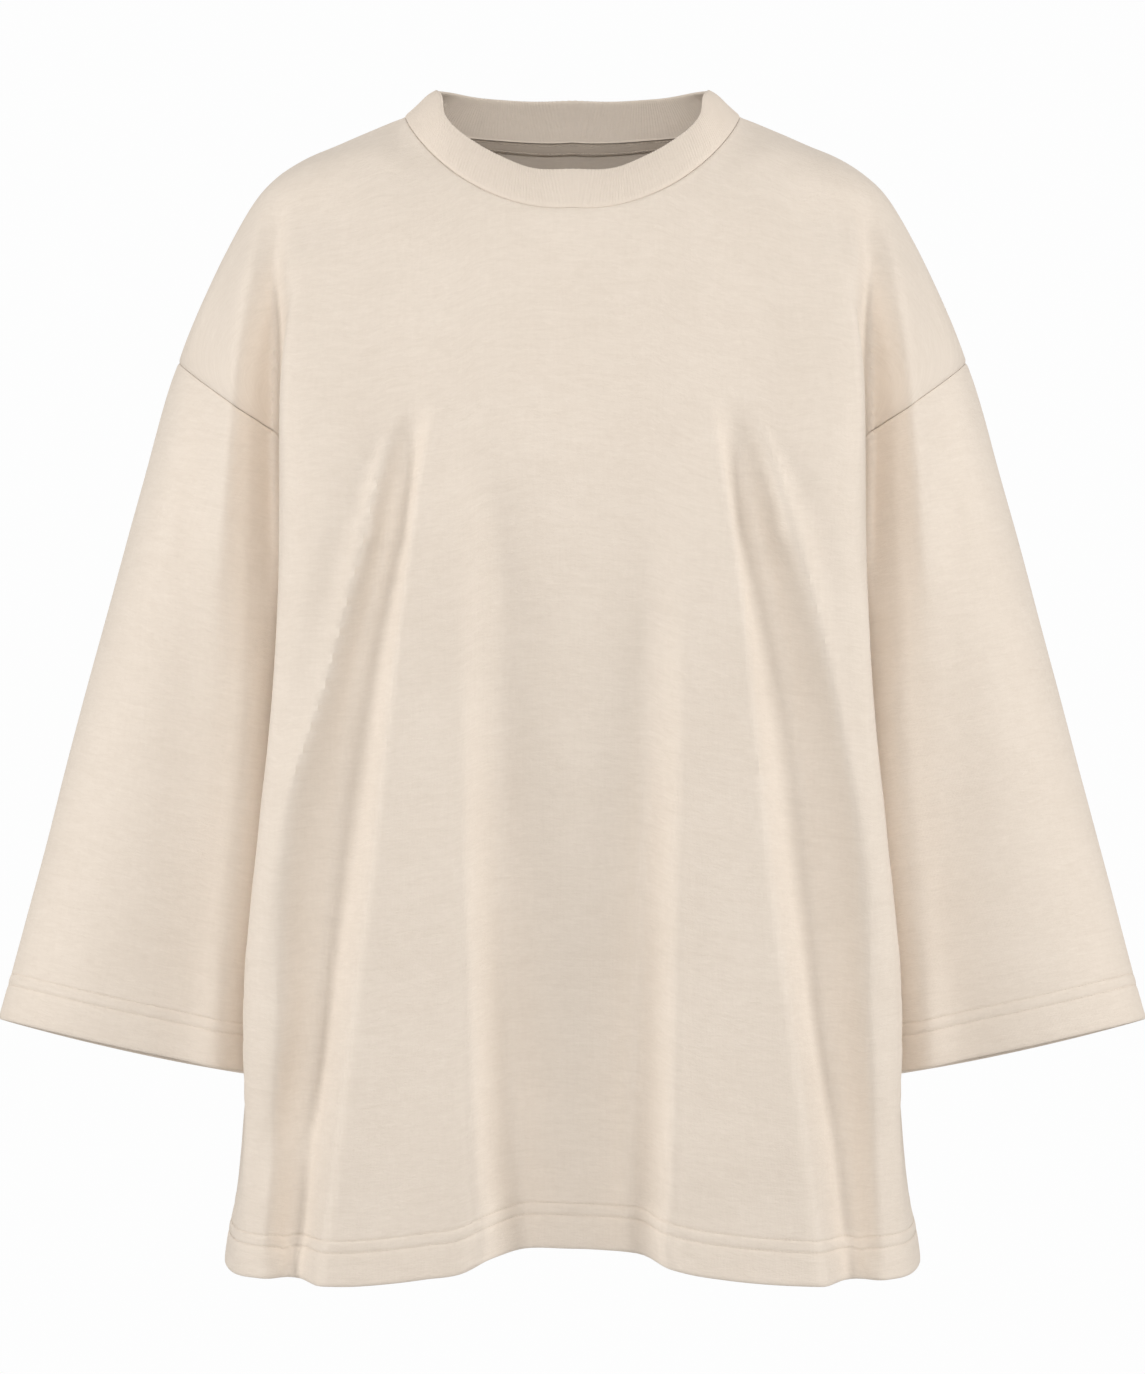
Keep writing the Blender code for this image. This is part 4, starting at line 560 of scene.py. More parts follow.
# crisp folds of the front: line, place across, height (mm), crest, its half width, hollow outside it, its distance, its half width
FOLDS = table([
    [1, -87, -196, 1.0, 4.5, 0.7, 13, 11], [1, -93, -224, 4.4, 4.5, 3.0, 15, 12], [1, -103, -294, 5.4, 4.5, 3.4, 17, 13], [1, -116, -398, 5.4, 4.5, 3.0, 18, 14],
    [1, -126, -495, 5.1, 4.5, 2.6, 18, 14], [1, -136, -573, 4.8, 4.5, 2.2, 18, 14], [1, -146, -664, 4.4, 4.5, 1.9, 17, 13], [1, -159, -775, 4.1, 4.5, 1.9, 16, 12],
    [2, -112, -200, 1.0, 4.5, 0.7, 12, 10], [2, -124, -240, 4.4, 4.5, 2.6, 14, 11], [2, -136, -292, 4.4, 4.5, 3.0, 14, 11], [2, -157, -372, 4.1, 4.5, 2.2, 13, 11],
    [2, -181, -446, 3.4, 4.5, 1.1, 12, 10], [2, -192, -500, 2.0, 5.0, 0.4, 10, 10], [2, -199, -560, 0.0, 5.0, 0.0, 10, 10],
    [3, -78, -285, 0.0, 7.0, 0.0, -14, 12], [3, -73, -385, 0.9, 7.0, 1.3, -14, 12], [3, -71, -462, 1.4, 7.0, 2.3, -14, 12], [3, -67, -580, 1.8, 6.5, 3.0, -14, 12],
    [3, -62, -690, 2.1, 6.0, 3.3, -14, 11], [3, -56, -770, 2.2, 6.0, 3.3, -13, 11],
    [4, 74, -300, 0.0, 7.0, 0.0, -14, 12], [4, 73, -385, 0.9, 7.0, 1.3, -14, 12], [4, 71, -450, 1.4, 7.0, 2.3, -14, 12], [4, 69, -514, 1.7, 6.5, 2.6, -14, 12],
    [4, 66, -612, 2.0, 6.5, 3.0, -14, 12], [4, 62, -720, 2.1, 6.0, 3.3, -14, 11], [4, 58, -770, 2.2, 6.0, 3.3, -13, 11],
    [5, 87, -194, 0.8, 4.5, 0.7, 13, 11], [5, 97, -243, 4.1, 4.5, 2.8, 15, 12], [5, 106, -307, 5.1, 4.5, 3.4, 17, 13], [5, 113, -372, 5.4, 4.5, 3.4, 18, 14],
    [5, 127, -514, 5.1, 4.5, 3.0, 18, 14], [5, 139, -599, 4.8, 4.5, 2.6, 18, 14], [5, 147, -677, 4.4, 4.5, 2.2, 17, 13], [5, 159, -775, 4.1, 4.5, 1.9, 16, 12],
    [6, 119, -200, 0.8, 4.5, 0.7, 12, 10], [6, 132, -240, 3.7, 4.5, 2.2, 14, 11], [6, 147, -292, 4.1, 4.5, 2.6, 13, 11], [6, 166, -368, 3.7, 4.5, 1.5, 12, 10],
    [6, 179, -430, 2.7, 4.5, 0.7, 10, 10], [6, 188, -480, 1.4, 5.0, 0.0, 10, 10], [6, 196, -530, 0.0, 5.0, 0.0, 10, 10]])

def fold_lines(P, N):
    """stand-off of the crisp folds of the front, in metres"""
    x, z = P[..., 0] * 1000, P[..., 2] * 1000
    D = np.zeros(x.shape)
    for k in range(1, 7):
        T = FOLDS[FOLDS[:, 0] == k][::-1]
        c, crest, wc, hol, far, wh = (smooth_interp(np.clip(z, T[0, 2], T[-1, 2]), T[:, 2], T[:, i]) for i in (1, 3, 4, 5, 6, 7))
        slope = np.gradient(T[:, 1], T[:, 2]).mean()
        s = (x - c) * np.sign(T[0, 1]) / np.sqrt(1 + slope * slope)
        end = sstep(z, T[0, 2] - 12, T[0, 2] + 6) if T[0, 2] > -760 else 1.0
        top = 1 - sstep(z, T[-1, 2] - 6, T[-1, 2] + 8)
        side = np.where(s > 0, np.exp(-(s / wc) ** 2), np.exp(-np.maximum(-s - 1.0, 0) / 26.0) if k in (1, 2, 5, 6) else np.exp(-(s / wc) ** 2))
        D += (np.maximum(crest, 0) * side - np.maximum(hol, 0) * np.exp(-((s - far) / wh) ** 2)) * end * top
    return 0.001 * D * sstep(-N[..., 1], 0.15, 0.6) * (P[..., 1] < 0)

# outer part of the front, which comes forward again beyond the main folds: height, where it is fully forward on the right and on the left, how far (mm)
FLANK = table([
    [-190, -118, 122, 0.0], [-240, -127, 132, 2.5], [-300, -142, 152, 4.5], [-372, -161, 170, 7.0], [-446, -182, 184, 9.5], [-500, -188, 190, 11.0],
    [-600, -194, 196, 12.5], [-700, -200, 202, 13.0], [-780, -206, 208, 13.0]])

def flank(P):
    """how far the outer part of the front comes forward, in metres"""
    x, z = P[..., 0] * 1000, P[..., 2] * 1000
    F = FLANK[::-1]
    zz = np.clip(z, F[0, 0], F[-1, 0])
    right, left, amp = (smooth_interp(zz, F[:, 0], F[:, i]) for i in (1, 2, 3))
    s = np.where(x < 0, right - x, x - left)
    e = np.where(s > 0, np.exp(-(s / 60.0) ** 2), np.exp(-(s / 12.0) ** 2))
    return 0.001 * np.maximum(amp, 0) * e * sstep(-P[..., 1], 0.020, 0.075)

def body_outer(P, N, fine=False):
    D = relief(P, N) + (fold_lines(P, N) if fine else 0.0)
    Q = P + N * D[..., None]
    Q[..., 1] += armpit(P, N) - flank(P) * (1 - sstep(np.abs(P[..., 0]), 0.183, 0.197) * sstep(P[..., 2], -0.345, -0.275))
    # the bottom edge rises and falls with the folds of the front
    down = sstep(-P[..., 2], 0.45, -HEM_Z)
    wf = sstep(-N[..., 1], 0.15, 0.75)
    Q[..., 2] += (smooth_interp(Q[..., 0], HEM[:, 0], HEM[:, 1]) - HEM_Z) * down * wf
    return Q

def sleeve_outer(P, N, w):
    """w: share of the length from the armhole"""
    x, z = np.abs(P[..., 0]), P[..., 2]
    c = smooth_interp(z, [-0.66, -0.45, -0.345, -0.266, -0.188, -0.123, -0.066], [0.262, 0.236, 0.231, 0.227, 0.223, 0.2215, 0.213])
    dx = x - c
    s = np.where(dx > 0, 0.013, 0.020)
    f = (np.exp(-(dx / s) ** 2) - 0.45 * np.exp(-((dx - 0.026) / 0.016) ** 2)) * sstep(-N[..., 1], 0.2, 0.8) * sstep(z, -0.62, -0.30)
    b = np.exp(-((x - c - 0.01) / 0.03) ** 2) * sstep(N[..., 1], 0.2, 0.8) * sstep(z, -0.58, -0.35)
    g = np.exp(-((dx + 0.020) / 0.015) ** 2) * sstep(-N[..., 1], 0.15, 0.6) * sstep(-z, 0.30, 0.40)
    Q = P + N * ((0.0034 * f + 0.0075 * g + 0.003 * b) * sstep(w, 0.10, 0.40))[..., None]
    Q[..., 1] += armpit(P, N)
    return Q

# ------------------------------------------------------------------ grids of any fineness
def cubic_rows(G, f):
    """sample along axis 0 at fractional places f, smooth through the points"""
    n = len(G)
    i = np.clip(np.floor(f).astype(int), 0, n - 2)
    t = (f - i).reshape((-1,) + (1,) * (G.ndim - 1))
    p1, p2 = G[i], G[i + 1]
    p0 = np.where((i > 0).reshape(t.shape), G[np.maximum(i - 1, 0)], 2 * p1 - p2)
    p3 = np.where((i < n - 2).reshape(t.shape), G[np.minimum(i + 2, n - 1)], 2 * p2 - p1)
    return 0.5 * (2 * p1 + (p2 - p0) * t + (2 * p0 - 5 * p1 + 4 * p2 - p3) * t ** 2 + (3 * p1 - p0 - 3 * p2 + p3) * t ** 3)

def arc_of(P):
    return np.r_[0, np.cumsum(np.linalg.norm(np.diff(P, axis=0), axis=1))]

def rows_of_column(C, v, n_top, n_low, hem, neck_rows):
    """places (fractional rows of the base) with n_top rows to the underarm, n_low to the hem, then rows at the given heights above the edge"""
    s = arc_of(C)
    k = int(np.argmin(np.abs(v - V_ARM)))
    a, L = s[k], s[-1]
    top = np.r_[np.array(neck_rows), np.linspace(neck_rows[-1], a, n_top + 1)[1:]]
    low = np.linspace(a, L - hem[0], n_low + 1)[1:]
    d = np.r_[top, low, L - np.array(hem[1:])]
    return np.interp(d, s, np.arange(len(s)))

def half_panel(front, cols, n_top, n_low, hem, neck_rows=(0.0,)):
    """plain form of half a panel at the given fractional columns: [col, row, 3]"""
    G, v, nn = base_half(front)
    Gc = cubic_rows(G, np.asarray(cols, float))
    R = [cubic_rows(c, rows_of_column(c, v, n_top, n_low, hem, neck_rows if i <= 10**6 else (0.0,))) for i, c in enumerate(Gc)]
    return np.array(R)

def unit(v):
    return v / np.maximum(np.linalg.norm(v, axis=-1, keepdims=True), 1e-12)

def grid_normals(G, wrap=False):
    du = np.empty_like(G); dv = np.empty_like(G)
    if wrap:
        du = np.roll(G, -1, 0) - np.roll(G, 1, 0)
    else:
        du[1:-1] = G[2:] - G[:-2]; du[0] = G[1] - G[0]; du[-1] = G[-1] - G[-2]
    dv[:, 1:-1] = G[:, 2:] - G[:, :-2]; dv[:, 0] = G[:, 1] - G[:, 0]; dv[:, -1] = G[:, -1] - G[:, -2]
    return unit(np.cross(du, dv))

def make_panels(cols, n_top, n_low, hem, neck_rows, sleeve_rows, cuff, top_rows=(0.0,), fine=False):
    """outer faces of front, back and sleeves with matching edges: dict of [col, row, 3]; also the row number of the
    underarm
    """
    out = {}
    plain = {}
    for front in (True, False):
        G = half_panel(front, cols, n_top, n_low, hem, neck_rows)
        G[0, :, 0] = 0.0
        full = np.concatenate([G[:0:-1] * np.array([-1.0, 1, 1]), G], 0)
        N = unit(grad(form_body, full))
        plain["front" if front else "back"] = full
        out["front" if front else "back"] = body_outer(full, N, fine)
    nt = len(neck_rows) + n_top - 1           # row number of the underarm
    for sgn, name in ((1.0, "sleeve_left"), (-1.0, "sleeve_right")):
        e = -1 if sgn > 0 else 0
        edge, ring = (np.vstack([q["front"][e, :nt + 1], q["back"][e, :nt + 1][::-1][1:]]) * np.array([sgn, 1, 1]) for q in (out, plain))
        S = sleeve_base(48, ring)
        # rows: even down to the hem, then the hem's own
        cols_out = []
        for c in S:
            s_ = arc_of(c)
            d = np.r_[np.array(top_rows), np.linspace(0.010, s_[-1] - cuff[0], sleeve_rows), s_[-1] - np.array(cuff[1:])]
            cols_out.append(cubic_rows(c, np.interp(d, s_, np.arange(len(s_)))))
        S = np.array(cols_out)
        w = arc_of(S[0]); w = w / w[-1]
        N = unit(grad(form_sleeve, S))
        S2 = sleeve_outer(S, N, w[None])
        S2[:, 0] = edge
        out[name] = S2[:-1] * np.array([sgn, 1, 1])
    return out, nt

NECK_TOP = dict(half=0.0894, front=0.0690, back=0.0515, squareness=2.8)

def collar_top(P):
    """upper edge of the neckband over each point of its seam"""
    x, y = P[:, 0], P[:, 1]
    ys = np.where(y < 0, y / NECK_FRONT, y / NECK_BACK)
    om = np.arctan2(ys, x / NECK_HALF)
    c, s = np.cos(om), np.sin(om)
    p = 2 / NECK_TOP["squareness"]
    X = NECK_TOP["half"] * np.sign(c) * np.abs(c) ** p
    Y = np.where(s < 0, NECK_TOP["front"], NECK_TOP["back"]) * np.sign(s) * np.abs(s) ** p
    Z = P[:, 2] + 0.0262 - 0.0040 * c * c
    return np.stack([X, Y, Z], 1)

def neck_ring(out, n_neck):
    """seam of the neckband, from the middle of the front over the left shoulder round the back"""
    F, B = out["front"], out["back"]
    m = len(F) // 2
    fr = F[m:m + n_neck + 1, 0]
    bk = B[m:m + n_neck + 1, 0]
    right = np.vstack([fr, bk[::-1][1:]])
    left = right[1:-1][::-1] * np.array([-1.0, 1, 1])
    return np.vstack([right, left])

# ------------------------------------------------------------------ fine nets of the cloth
COLS = np.r_[np.linspace(0, 20, 31), np.linspace(20, 35.5, 19)[1:], np.linspace(35.5, 42, 23)[1:], np.linspace(42, 59.1, 24)[1:], 59.45, 59.65, 59.81, 59.91, 60.0]
N_NECK = 30
NEAR = (0.0, 0.0005, 0.0011, 0.0020, 0.0032, 0.0060)
NECK_ROWS = NEAR + (0.009, 0.012)
HEM_ROWS = [0.0340, 0.0325, 0.0315, 0.0308, 0.0304, 0.0299, 0.0294, 0.0286, 0.0268, 0.0246, 0.0234, 0.0226, 0.0221, 0.0216, 0.0208,
            0.0190, 0.0155, 0.0115, 0.0075, 0.0045, 0.0025, 0.0012, 0.0005, 0.0]
CUFF_ROWS = [h + (0.0020 if h > 0.0175 else 0.0) for h in HEM_ROWS]
HEM_LINES = (0.0299, 0.0221)          # twin-needle rows above the body's edge
CUFF_LINES = (0.0319, 0.0241)

out, NT = make_panels(COLS, 66, 146, HEM_ROWS, NECK_ROWS, 108, CUFF_ROWS, NEAR, True)
NAMES = ["front", "back", "sleeve_left", "sleeve_right"]
WRAP = {"front": False, "back": False, "sleeve_left": True, "sleeve_right": True}


def noise_field(seed, cell):
    """smooth seeded noise over space, about -1 to 1, with features of the given size"""
    rng = np.random.default_rng(seed)
    L = rng.uniform(-1, 1, (48, 32, 48))

    def at(P):
        q = P / cell + 23.0
        i = np.floor(q).astype(int)
        f = q - i
        f = f * f * (3 - 2 * f)
        r = 0.0
        for a in (0, 1):
            for b in (0, 1):
                for c in (0, 1):
                    w = (f[..., 0] if a else 1 - f[..., 0]) * (f[..., 1] if b else 1 - f[..., 1]) * (f[..., 2] if c else 1 - f[..., 2])
                    r = r + w * L[(i[..., 0] + a) % 48, (i[..., 1] + b) % 32, (i[..., 2] + c) % 48]
        return r
    return at


def along_rows(G, wrap):
    """length along each row from its start"""
    d = np.linalg.norm(np.diff(G, axis=0), axis=-1)
    return np.concatenate([np.zeros((1, G.shape[1])), np.cumsum(d, 0)], 0)


def along_cols(G):
    d = np.linalg.norm(np.diff(G, axis=1), axis=-1)
    return np.concatenate([np.zeros((G.shape[0], 1)), np.cumsum(d, 1)], 1)


def hemmed(h, lines, top):
    """stand-off of a turned and twin-stitched hem by height over its edge"""
    g = 0.0
    for l in lines:
        g = g - 0.00042 * np.exp(-((h - l) / 0.0007) ** 2)
    mid = (lines[0] + lines[1]) / 2
    g = g + 0.00030 * np.exp(-((h - mid) / 0.0030) ** 4)
    g = g + 0.00030 * sstep(h, 0.0, 0.004) * (1 - sstep(h, lines[1] - 0.004, lines[1] - 0.0005))
    return g * sstep(h, 0.0, 0.002)


# ------------------------------------------------------------------ creases laid one by one
# face (-1 front, 1 back), start x z, middle x z, end x z in mm, height in mm (minus is a trough), half width one side, other side
CREASES = table([
    # front: hem corners beside the crisp folds
    [-1, -182, -742, -190, -752, -196, -766, 2.2, 5, 7],
    [-1, -48, -700, -52, -722, -58, -742, 2.0, 6, 8],
    [-1, 52, -712, 56, -730, 62, -748, 1.8, 6, 8],
    [-1, 182, -735, 190, -750, 199, -766, 2.0, 6, 8],
    # front: long soft drags below the armpits, in towards the folds
    [-1, -160, -250, -140, -262, -118, -292, 1.6, 9, 12],
    [-1, 160, -250, 141, -264, 120, -296, 1.6, 9, 12],
    [-1, -184, -560, -196, -620, -214, -690, 1.8, 10, 14],
    [-1, -166, -600, -186, -672, -206, -722, -1.4, 10, 12],
    [-1, 184, -560, 198, -626, 214, -692, 1.6, 10, 14],
    # back: slack under the shoulder blades, slanting to the armpits
    [1, -150, -230, -118, -250, -84, -300, 2.6, 12, 16],
    [1, 150, -236, 120, -254, 88, -306, 2.4, 12, 16],
    [1, -164, -300, -150, -345, -132, -420, -2.2, 12, 14],
    [1, 166, -310, 150, -352, 134, -426, -2.0, 12, 14],
    [1, -60, -640, -74, -690, -84, -762, 1.8, 9, 12],
    [1, 24, -600, 20, -680, 12, -764, 1.6, 10, 12],
    [1, 128, -640, 124, -700, 118, -764, 1.6, 9, 12]])


def creases(P, N):
    x, z = P[..., 0] * 1000, P[..., 2] * 1000
    D = np.zeros(x.shape)
    for face, x0, z0, x1, z1, x2, z2, hgt, wa, wb in CREASES:
        t = np.clip((z - z0) / (z2 - z0), 0, 1)
        c1x = 2 * x1 - 0.5 * (x0 + x2)
        c = (1 - t) ** 2 * x0 + 2 * t * (1 - t) * c1x + t * t * x2
        dx = x - c
        slope = (x2 - x0) / (z2 - z0)
        dx = dx / math.sqrt(1 + slope * slope)
        w = np.where(dx > 0, wa, wb)
        e = np.exp(-(dx / w) ** 2)
        fade = sstep((z - z2) / (z0 - z2), -0.06 if z2 < -755 else 0.0, 0.30) * (1 - sstep((z - z2) / (z0 - z2), 0.72, 1.02))
        if z2 < -755:
            fade = 1 - sstep((z - z2) / (z0 - z2), 0.55, 1.02)
        D += hgt * e * fade * sstep(face * N[..., 1], 0.15, 0.7)
    return D * 0.001


wide, fine_, tiny = noise_field(11, 0.085), noise_field(23, 0.038), noise_field(37, 0.014)
parts = {}
for name in NAMES:
    G = out[name]
    wrap = WRAP[name]
    nc, nr = G.shape[:2]
    Gw = np.concatenate([G, G[:1]], 0) if wrap else G
    N0 = grid_normals(G, wrap)
    c = np.array([0, 0, -0.4]) if not wrap else G.mean(0, keepdims=True)
    if ((G - c) * N0).sum() < 0:
        G = G[::-1].copy(); N0 = grid_normals(G, wrap)
        Gw = np.concatenate([G, G[:1]], 0) if wrap else G
    down = along_cols(G)
    h = down[:, -1:] - down                     # height over the hem, along the cloth
    row = along_rows(Gw, wrap)
    if wrap:
        side = np.full((nc, nr), 1.0)
        seam = down.copy()                      # distance from the armhole
    else:
        side = np.minimum(row, row[-1:] - row)
        seam = np.minimum(down, side)
    lines = CUFF_LINES if wrap else HEM_LINES
    near = (1 - sstep(seam, 0.0, 0.030))
    D = 0.00045 * wide(G) + 0.00022 * fine_(G * [1, 1, 0.6])
    D = D * sstep(seam, 0.0, 0.02) * sstep(h, 0.0, 0.01)
    if not wrap:
        D = D + creases(G, N0) * sstep(seam, 0.0, 0.03)
    # seams sink a little and pucker gently beside the stitching
    D = D - 0.00085 * np.exp(-(seam / 0.0014) ** 2)
    D = D + 0.00016 * tiny(G) * np.exp(-((seam - 0.005) / 0.006) ** 2)
    D = D + hemmed(h, lines, lines[0]) + 0.00022 * tiny(G * [1, 1, 0.5]) * (1 - sstep(h, 0.026, 0.036)) * sstep(h, 0.0, 0.006)
    parts[name] = dict(G=G, N0=N0, D=D, h=h, seam=seam, row=row, wrap=wrap, lines=lines)

# one shared normal wherever panels meet
def weld_normals(grids, wraps):
    pts, nrm = [], []
    for g, wr in zip(grids, wraps):
        g2 = np.concatenate([g, g[:1]], 0) if wr else g
        a, b, c, d = g2[:-1, :-1], g2[1:, :-1], g2[1:, 1:], g2[:-1, 1:]
        n = np.cross(c - a, d - b)
        for q in (a, b, c, d):
            pts.append(q.reshape(-1, 3)); nrm.append(n.reshape(-1, 3))
    pts, nrm = np.vstack(pts), np.vstack(nrm)
    K = np.round(pts * 1e6).astype(np.int64)
    key = (K[:, 0] + 2000000) * 4000000 * 4000000 + (K[:, 1] + 2000000) * 4000000 + (K[:, 2] + 2000000)
    u, inv = np.unique(key, return_inverse=True)
    inv = inv.reshape(-1)
    acc = np.stack([np.bincount(inv, nrm[:, i], len(u)) for i in range(3)], 1)
    acc = unit(acc)
    res = []
    for g in grids:
        k = np.round(g.reshape(-1, 3) * 1e6).astype(np.int64)
        kk = (k[:, 0] + 2000000) * 4000000 * 4000000 + (k[:, 1] + 2000000) * 4000000 + (k[:, 2] + 2000000)
        res.append(acc[np.searchsorted(u, kk)].reshape(g.shape))
    return res


grids = [parts[n]["G"] for n in NAMES]
base_n = weld_normals(grids, [WRAP[n] for n in NAMES])
for n, N in zip(NAMES, base_n):
    p = parts[n]
    p["P"] = p["G"] + N * p["D"][..., None]
# edges that were shared are still shared, so the second round of normals matches too
second = weld_normals([parts[n]["P"] for n in NAMES], [WRAP[n] for n in NAMES])
for n, N in zip(NAMES, second):
    parts[n]["N"] = N


def across(line, N, sign):
    return unit(np.cross(N, unit(np.gradient(line, axis=0)))) * sign


def draw_back(P, N, wrap):
    off = np.zeros_like(P)
    if wrap:
        e = np.concatenate([P[-1:, 0], P[:, 0], P[:1, 0]], 0)
        NN = np.concatenate([N[-1:, 0], N[:, 0], N[:1, 0]], 0)
        off[:, 0] += across(e, NN, 1.0)[1:-1]
    else:
        off[:, 0] += across(P[:, 0], N[:, 0], 1.0)
        for i, s in ((0, -1.0), (-1, 1.0)):
            off[i, :NT + 1] += across(P[i, :NT + 1], N[i, :NT + 1], s)
            off[i, NT:] += across(P[i, NT:], N[i, NT:], s)
    return P + off * SEAM, off


# ------------------------------------------------------------------ meshes
def mesh_object(name, V, F, uv=None, mat=None, sharp=0.9):
    me = bpy.data.meshes.new(name)
    me.from_pydata(V.tolist(), [], F if isinstance(F, list) else F.tolist())
    me.update()
    me.shade_smooth()
    if sharp:
        me.set_sharp_from_angle(angle=sharp)
    if uv is not None:
        lay = me.uv_layers.new(name="UVMap")
        idx = np.empty(len(me.loops), np.int32)
        me.loops.foreach_get("vertex_index", idx)
        lay.data.foreach_set("uv", uv[idx].astype(np.float32).reshape(-1))
    ob = bpy.data.objects.new(name, me)
    bpy.context.scene.collection.objects.link(ob)
    if mat is not None:
        me.materials.append(mat)
    return ob


def shell_mesh(outer, inner, wrap):
    nc, nr = outer.shape[:2]
    V = np.vstack([outer.reshape(-1, 3), inner.reshape(-1, 3)])
    k = nc * nr
    i = np.arange(nc if wrap else nc - 1)[:, None]
    j = np.arange(nr - 1)[None]
    a = i * nr + j
    b = ((i + 1) % nc) * nr + j
    quad = np.stack([a, b, b + 1, a + 1], -1).reshape(-1, 4)
    back = quad[:, ::-1] + k
    i = i[:, 0]
    a, b = i * nr, ((i + 1) % nc) * nr
    top = np.stack([b, a, a + k, b + k], -1)
    a, b = a + nr - 1, b + nr - 1
    low = np.stack([a, b, b + k, a + k], -1)
    F = [quad, back, top, low]
    if not wrap:
        j = np.arange(nr - 1)
        F.append(np.stack([j, j + 1, j + 1 + k, j + k], -1))
        e = (nc - 1) * nr + j
        F.append(np.stack([e + 1, e, e + k, e + 1 + k], -1))
    F = np.concatenate(F)
    # wound outward
    return V, F


def stitch_row(line, N, pitch, length=0.74, r=0.00019, rise=0.00012, closed=False, seed=1, skip=0.0):
    """short threads lying end to end along a line on the cloth; returns vertices and faces"""
    if closed:
        line = np.vstack([line, line[:1]]); N = np.vstack([N, N[:1]])
    s = arc_of(line)
    n = max(int((s[-1] - 2 * skip) / pitch), 1)
    c = skip + (np.arange(n) + 0.5) * (s[-1] - 2 * skip) / n
    rng = np.random.default_rng(seed)
    tau = np.array([-1.0, -0.80, -0.35, 0.35, 0.80, 1.0])
    hgt = np.array([-1.6, 0.1, 1.0, 1.0, 0.1, -1.6])
    rad = np.array([0.55, 0.9, 1.0, 1.0, 0.9, 0.55])
    half = 0.5 * pitch * length * (1 + 0.05 * rng.standard_normal(n))
    at = c[:, None] + tau[None] * half[:, None]
    at = np.clip(at, 0, s[-1])
    C = np.stack([np.interp(at, s, line[:, q]) for q in range(3)], -1)
    NN = unit(np.stack([np.interp(at, s, N[:, q]) for q in range(3)], -1))
    T = unit(np.gradient(C, axis=1))
    B = unit(np.cross(NN, T))
    NN = unit(np.cross(T, B))
    C = C + NN * (hgt * r * 0.9 + rise)[None, :, None] + B * (0.00006 * rng.standard_normal(n))[:, None, None]
    m = 6
    ang = np.arange(m) * 2 * np.pi / m
    R = rad[None, :, None, None] * r
    V = C[:, :, None] + R * (np.cos(ang)[None, None, :, None] * B[:, :, None] + np.sin(ang)[None, None, :, None] * NN[:, :, None])
    k = len(tau)
    V = V.reshape(-1, 3)
    F = []
    base = np.arange(n) * k * m
    for a in range(k - 1):
        for b in range(m):
            q = [a * m + b, a * m + (b + 1) % m, (a + 1) * m + (b + 1) % m, (a + 1) * m + b]
            F.append(base[:, None] + np.array(q)[None, ::-1])
    F = np.concatenate(F).tolist()
    for bs in base:
        F.append([int(bs + b) for b in range(m)])
        F.append([int(bs + (k - 1) * m + b) for b in range(m - 1, -1, -1)])
    return V, F


def join(parts_):
    V, F, o = [], [], 0
    for v, f in parts_:
        V.append(v); F += [[q + o for q in t] for t in f]
        o += len(v)
    return np.vstack(V), F


# ------------------------------------------------------------------ materials
def nodes_of(m):
    m.use_nodes = True
    nt = m.node_tree
    return nt, nt.nodes["Principled BSDF"]


def math_node(nt, op, a, b=None, c=None):
    n = nt.nodes.new("ShaderNodeMath")
    n.operation = op
    for i, v in enumerate((a, b, c)):
        if v is None:
            continue
        if isinstance(v, (int, float)):
            n.inputs[i].default_value = v
        else:
            nt.links.new(v, n.inputs[i])
    return n.outputs[0]


def scaled(nt, src, sx, sy, sz=1.0):
    n = nt.nodes.new("ShaderNodeMapping")
    n.inputs["Scale"].default_value = (sx, sy, sz)
    nt.links.new(src, n.inputs["Vector"])
    return n.outputs[0]


def noise_node(nt, vec, scale, detail=2.0, rough=0.5, distort=0.0):
    n = nt.nodes.new("ShaderNodeTexNoise")
    n.inputs["Scale"].default_value = scale
    n.inputs["Detail"].default_value = detail
    n.inputs["Roughness"].default_value = rough
    n.inputs["Distortion"].default_value = distort
    nt.links.new(vec, n.inputs["Vector"])
    return n.outputs["Fac"]


def mix_colour(nt, fac, a, b, mode="MIX"):
    n = nt.nodes.new("ShaderNodeMix")
    n.data_type = "RGBA"
    n.blend_type = mode
    for sock, v in ((n.inputs[0], fac), (n.inputs[6], a), (n.inputs[7], b)):
        if isinstance(v, (int, float)):
            sock.default_value = v
        elif isinstance(v, tuple):
            sock.default_value = (*v, 1.0)
        else:
            nt.links.new(v, sock)
    return n.outputs[2]


def bump_node(nt, height, strength, distance, normal=None):
    n = nt.nodes.new("ShaderNodeBump")
    n.inputs["Strength"].default_value = strength
    n.inputs["Distance"].default_value = distance
    nt.links.new(height, n.inputs["Height"])
    if normal is not None:
        nt.links.new(normal, n.inputs["Normal"])
    return n.outputs["Normal"]


